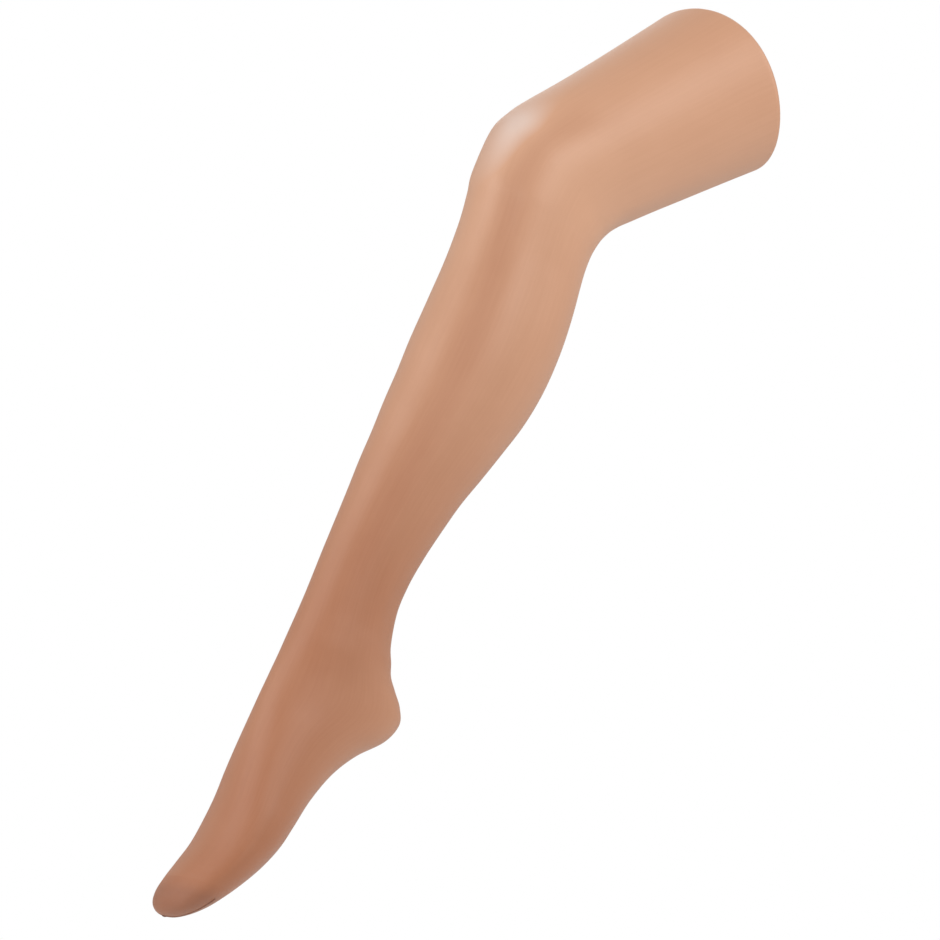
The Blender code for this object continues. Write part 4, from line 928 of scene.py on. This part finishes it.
def lathe(name, profile, columns):
    """Profile of (radius, height) turned about the socket's centre line, laid from its top to its
    underside and closed where the radius is 0."""
    angle = turns(columns)
    radius, height = profile[:, 0:1], profile[:, 1:2]
    behind = SOCKET_SHIFT + radius * np.cos(angle)
    return ring_stack(name, np.stack([KNEE[0] + height * UP_THIGH[0] + behind * BEHIND_THIGH[0],
                                      radius * np.sin(angle),
                                      KNEE[1] + height * UP_THIGH[1] + behind * BEHIND_THIGH[1]], -1) * MM)


def tube_along(name, path, radius, sides, closed=False):
    """Round tube along a path of points, with a radius at each. A ring stands square to the path: its
    first direction is square to a fixed slanting one too, its second to both. Open ends close to a
    point."""
    ahead = np.roll(path, -1, axis=0) - np.roll(path, 1, axis=0)
    if not closed:
        ahead[0], ahead[-1] = path[1] - path[0], path[-1] - path[-2]
    ahead /= np.linalg.norm(ahead, axis=1, keepdims=True)
    side = np.cross(ahead, SLANT)
    side /= np.linalg.norm(side, axis=1, keepdims=True)
    up = np.cross(side, ahead)
    angle = (np.arange(sides) * 2 * pi / sides)[None, :, None]
    ring = (np.cos(angle) * side[:, None] + np.sin(angle) * up[:, None]) * np.asarray(radius)[:, None, None]
    points = path[:, None] + ring
    if closed:
        points = np.concatenate([points, points[:1]])
    else:
        points = np.concatenate([path[None, :1] + 0 * points[:1], points, path[None, -1:] + 0 * points[:1]])
    return ring_stack(name, points)


class LEG_OT_valve_ring(bpy.types.Operator):
    """Soft ring that binds the opening over the socket's air valve: a circle about the valve's axis, laid
    on the inner side of the surface"""
    bl_idname = "leg.valve_ring"
    bl_label = "Valve Ring"

    def execute(self, context):
        angle = turns(RING_POINTS)[0]
        radius = sizes().valve_opening / MM
        place = valve_axis() / MM + radius * np.column_stack([np.cos(angle), np.sin(angle)]) - KNEE
        height, behind = place @ UP_THIGH, place @ BEHIND_THIGH
        row = along(STATIONS, -height)
        front = (row[:, 0:2] - KNEE) @ BEHIND_THIGH
        back = (row[:, 2:4] - KNEE) @ BEHIND_THIGH
        turn = -np.arccos(np.clip(((front + back) / 2 - behind) / ((back - front) / 2), -1, 1))
        path = skin(-height, turn, RING_SINK)
        made = tube_along("valve_ring", path, np.full(len(path), VALVE_RING * MM), 14, closed=True)
        wear(made, plastic_finish("ring_rubber", mixed(colours().nylon_dense, (0.2, 0.1, 0.06), 0.5), 0.6))
        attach(made, "thigh")
        return {"FINISHED"}


class LEG_OT_hardware(bpy.types.Operator):
    """Finishes of the knee, the pylon, the ankle, the keel, the screws, the valve and the buttons"""
    bl_idname = "leg.hardware"
    bl_label = "Hardware Finishes"

    def execute(self, context):
        colour = colours()
        finishes = {
            "aluminium": metal_finish("aluminium", (0.78, 0.79, 0.81), 0.34),
            "tube_anodised": metal_finish("tube_anodised", (0.55, 0.57, 0.60), 0.26),
            "screw_steel": metal_finish("screw_steel", (0.42, 0.43, 0.45), 0.30, 1),
            "bush_bronze": metal_finish("bush_bronze", (0.60, 0.38, 0.16), 0.36, 1),
            "stop_rubber": plastic_finish("stop_rubber", (0.03, 0.03, 0.03), 0.75, 1800.0),
            "keel_carbon": woven_finish("keel_carbon", colour.laminate, (0.07, 0.07, 0.08), 0.0024, 0.8),
            "valve_plastic": plastic_finish("valve_plastic", colour.valve, 0.45),
            "button_plastic": plastic_finish("button_plastic", colour.button, 0.38),
            "pad_gel": plastic_finish("cushion_rubber", mixed(colour.gel, (0.1, 0.1, 0.1), 0.5), 0.6),
        }
        slot_of = {row["node"]: row["material_slot"] for row in frame["record"]["subparts"]}
        for name, node in frame["nodes"].items():
            if node.hide_render:
                continue
            for place in node.material_slots:
                place.material = finishes[slot_of[name]]
        return {"FINISHED"}


# ------------------------------------------------------------------ stage
def add_camera(scene, distance, width):
    """Level camera far from the leg, so that it sees the given width there."""
    toward = Vector((sin(radians(VIEW_TURN)), -cos(radians(VIEW_TURN)), 0.0))
    lens = bpy.data.cameras.new("camera")
    lens.sensor_width = 36.0
    lens.lens = lens.sensor_width * distance / width
    lens.clip_end = 50.0
    camera = bpy.data.objects.new("camera", lens)
    camera.location = LEG_MIDDLE + toward * distance
    camera.rotation_euler = (-toward).to_track_quat("-Z", "Y").to_euler()
    scene.collection.objects.link(camera)
    scene.camera = camera


def add_surroundings(scene):
    """White to the camera, and a softer light on the leg."""
    world = bpy.data.worlds.new("surroundings")
    world.use_nodes = True
    nodes, links = world.node_tree.nodes, world.node_tree.links
    seen = next(n for n in nodes if n.type == "BACKGROUND")
    seen.inputs["Color"].default_value = (1.0, 1.0, 1.0, 1.0)
    soft = nodes.new("ShaderNodeBackground")
    soft.inputs["Color"].default_value = (1.0, 0.99, 0.98, 1.0)
    soft.inputs["Strength"].default_value = SURROUND_LIGHT
    path, blend = nodes.new("ShaderNodeLightPath"), nodes.new("ShaderNodeMixShader")
    links.new(path.outputs["Is Camera Ray"], blend.inputs[0])
    links.new(soft.outputs[0], blend.inputs[1])
    links.new(seen.outputs[0], blend.inputs[2])
    links.new(blend.outputs[0], next(n for n in nodes if n.type == "OUTPUT_WORLD").inputs["Surface"])
    scene.world = world


def add_floor(size, colour):
    """Flat disc of pale paper under the leg."""
    low = CAD_BOX[0].z - size.floor_drop
    radius, angle = np.linspace(0.0, size.floor_radius, FLOOR_RINGS)[:, None], turns(FLOOR_COLUMNS)
    floor = ring_stack("floor", np.stack([LEG_MIDDLE.x + radius * np.cos(angle), radius * np.sin(angle),
                                          low + 0 * radius * angle], -1))
    paper = Finish("floor_paper", 0.9)
    grain = paper.noise(paper.place(), 220.0, 3.0)
    paper.colour(paper.mix(paper.spread(grain, 0.3, 0.7, 0.0, 1.0), mixed(colour.floor, (0, 0, 0), 0.02),
                           colour.floor))
    paper.bump(grain, 0.0001, 0.4)
    floor.data.materials.append(paper.material)


def add_lights(scene):
    """Large soft lights that face the leg's middle."""
    for name, place, power, width, warm in STUDIO:
        light = bpy.data.lights.new(name, "AREA")
        light.shape = "RECTANGLE"
        light.size, light.size_y = width
        light.energy = power
        light.color = warm
        made = bpy.data.objects.new(name, light)
        made.location = LEG_MIDDLE + Vector(place)
        made.rotation_euler = (-Vector(place)).to_track_quat("-Z", "Y").to_euler()
        scene.collection.objects.link(made)


class LEG_OT_stage(bpy.types.Operator):
    """Pale floor, soft studio lights and the camera"""
    bl_idname = "leg.stage"
    bl_label = "Stage"

    def execute(self, context):
        size = sizes()
        context.scene.view_settings.view_transform = "Standard"
        add_camera(context.scene, size.camera_distance, size.view_width)
        add_surroundings(context.scene)
        add_floor(size, colours())
        add_lights(context.scene)
        return {"FINISHED"}


PIECES = ("leg.foam_cover", "leg.stocking", "leg.toe_seam", "leg.socket", "leg.valve_ring", "leg.hardware",
          "leg.stage")


class LEG_PT_panel(bpy.types.Panel):
    """Lists the leg's pieces, sizes and colours"""
    bl_idname = "LEG_PT_panel"
    bl_label = "Covered Leg"
    bl_space_type = "VIEW_3D"
    bl_region_type = "UI"
    bl_category = "Leg"

    def draw(self, context):
        for operator in PIECES:
            self.layout.operator(operator)
        for group in (context.scene.leg_sizes, context.scene.leg_colours):
            box = self.layout.box()
            for name in group.__annotations__:
                box.prop(group, name)


CLASSES = (LegSizes, LegColours, LEG_OT_foam_cover, LEG_OT_stocking, LEG_OT_toe_seam, LEG_OT_socket,
           LEG_OT_valve_ring, LEG_OT_hardware, LEG_OT_stage, LEG_PT_panel)


def register():
    for made in CLASSES:
        bpy.utils.register_class(made)
    bpy.types.Scene.leg_sizes = bpy.props.PointerProperty(type=LegSizes)
    bpy.types.Scene.leg_colours = bpy.props.PointerProperty(type=LegColours)


def unregister():
    del bpy.types.Scene.leg_colours
    del bpy.types.Scene.leg_sizes
    for made in reversed(CLASSES):
        bpy.utils.unregister_class(made)


def main():
    register()
    for name in PIECES:
        group, operator = name.split(".")
        getattr(getattr(bpy.ops, group), operator)()


if __name__ == "__main__":
    main()
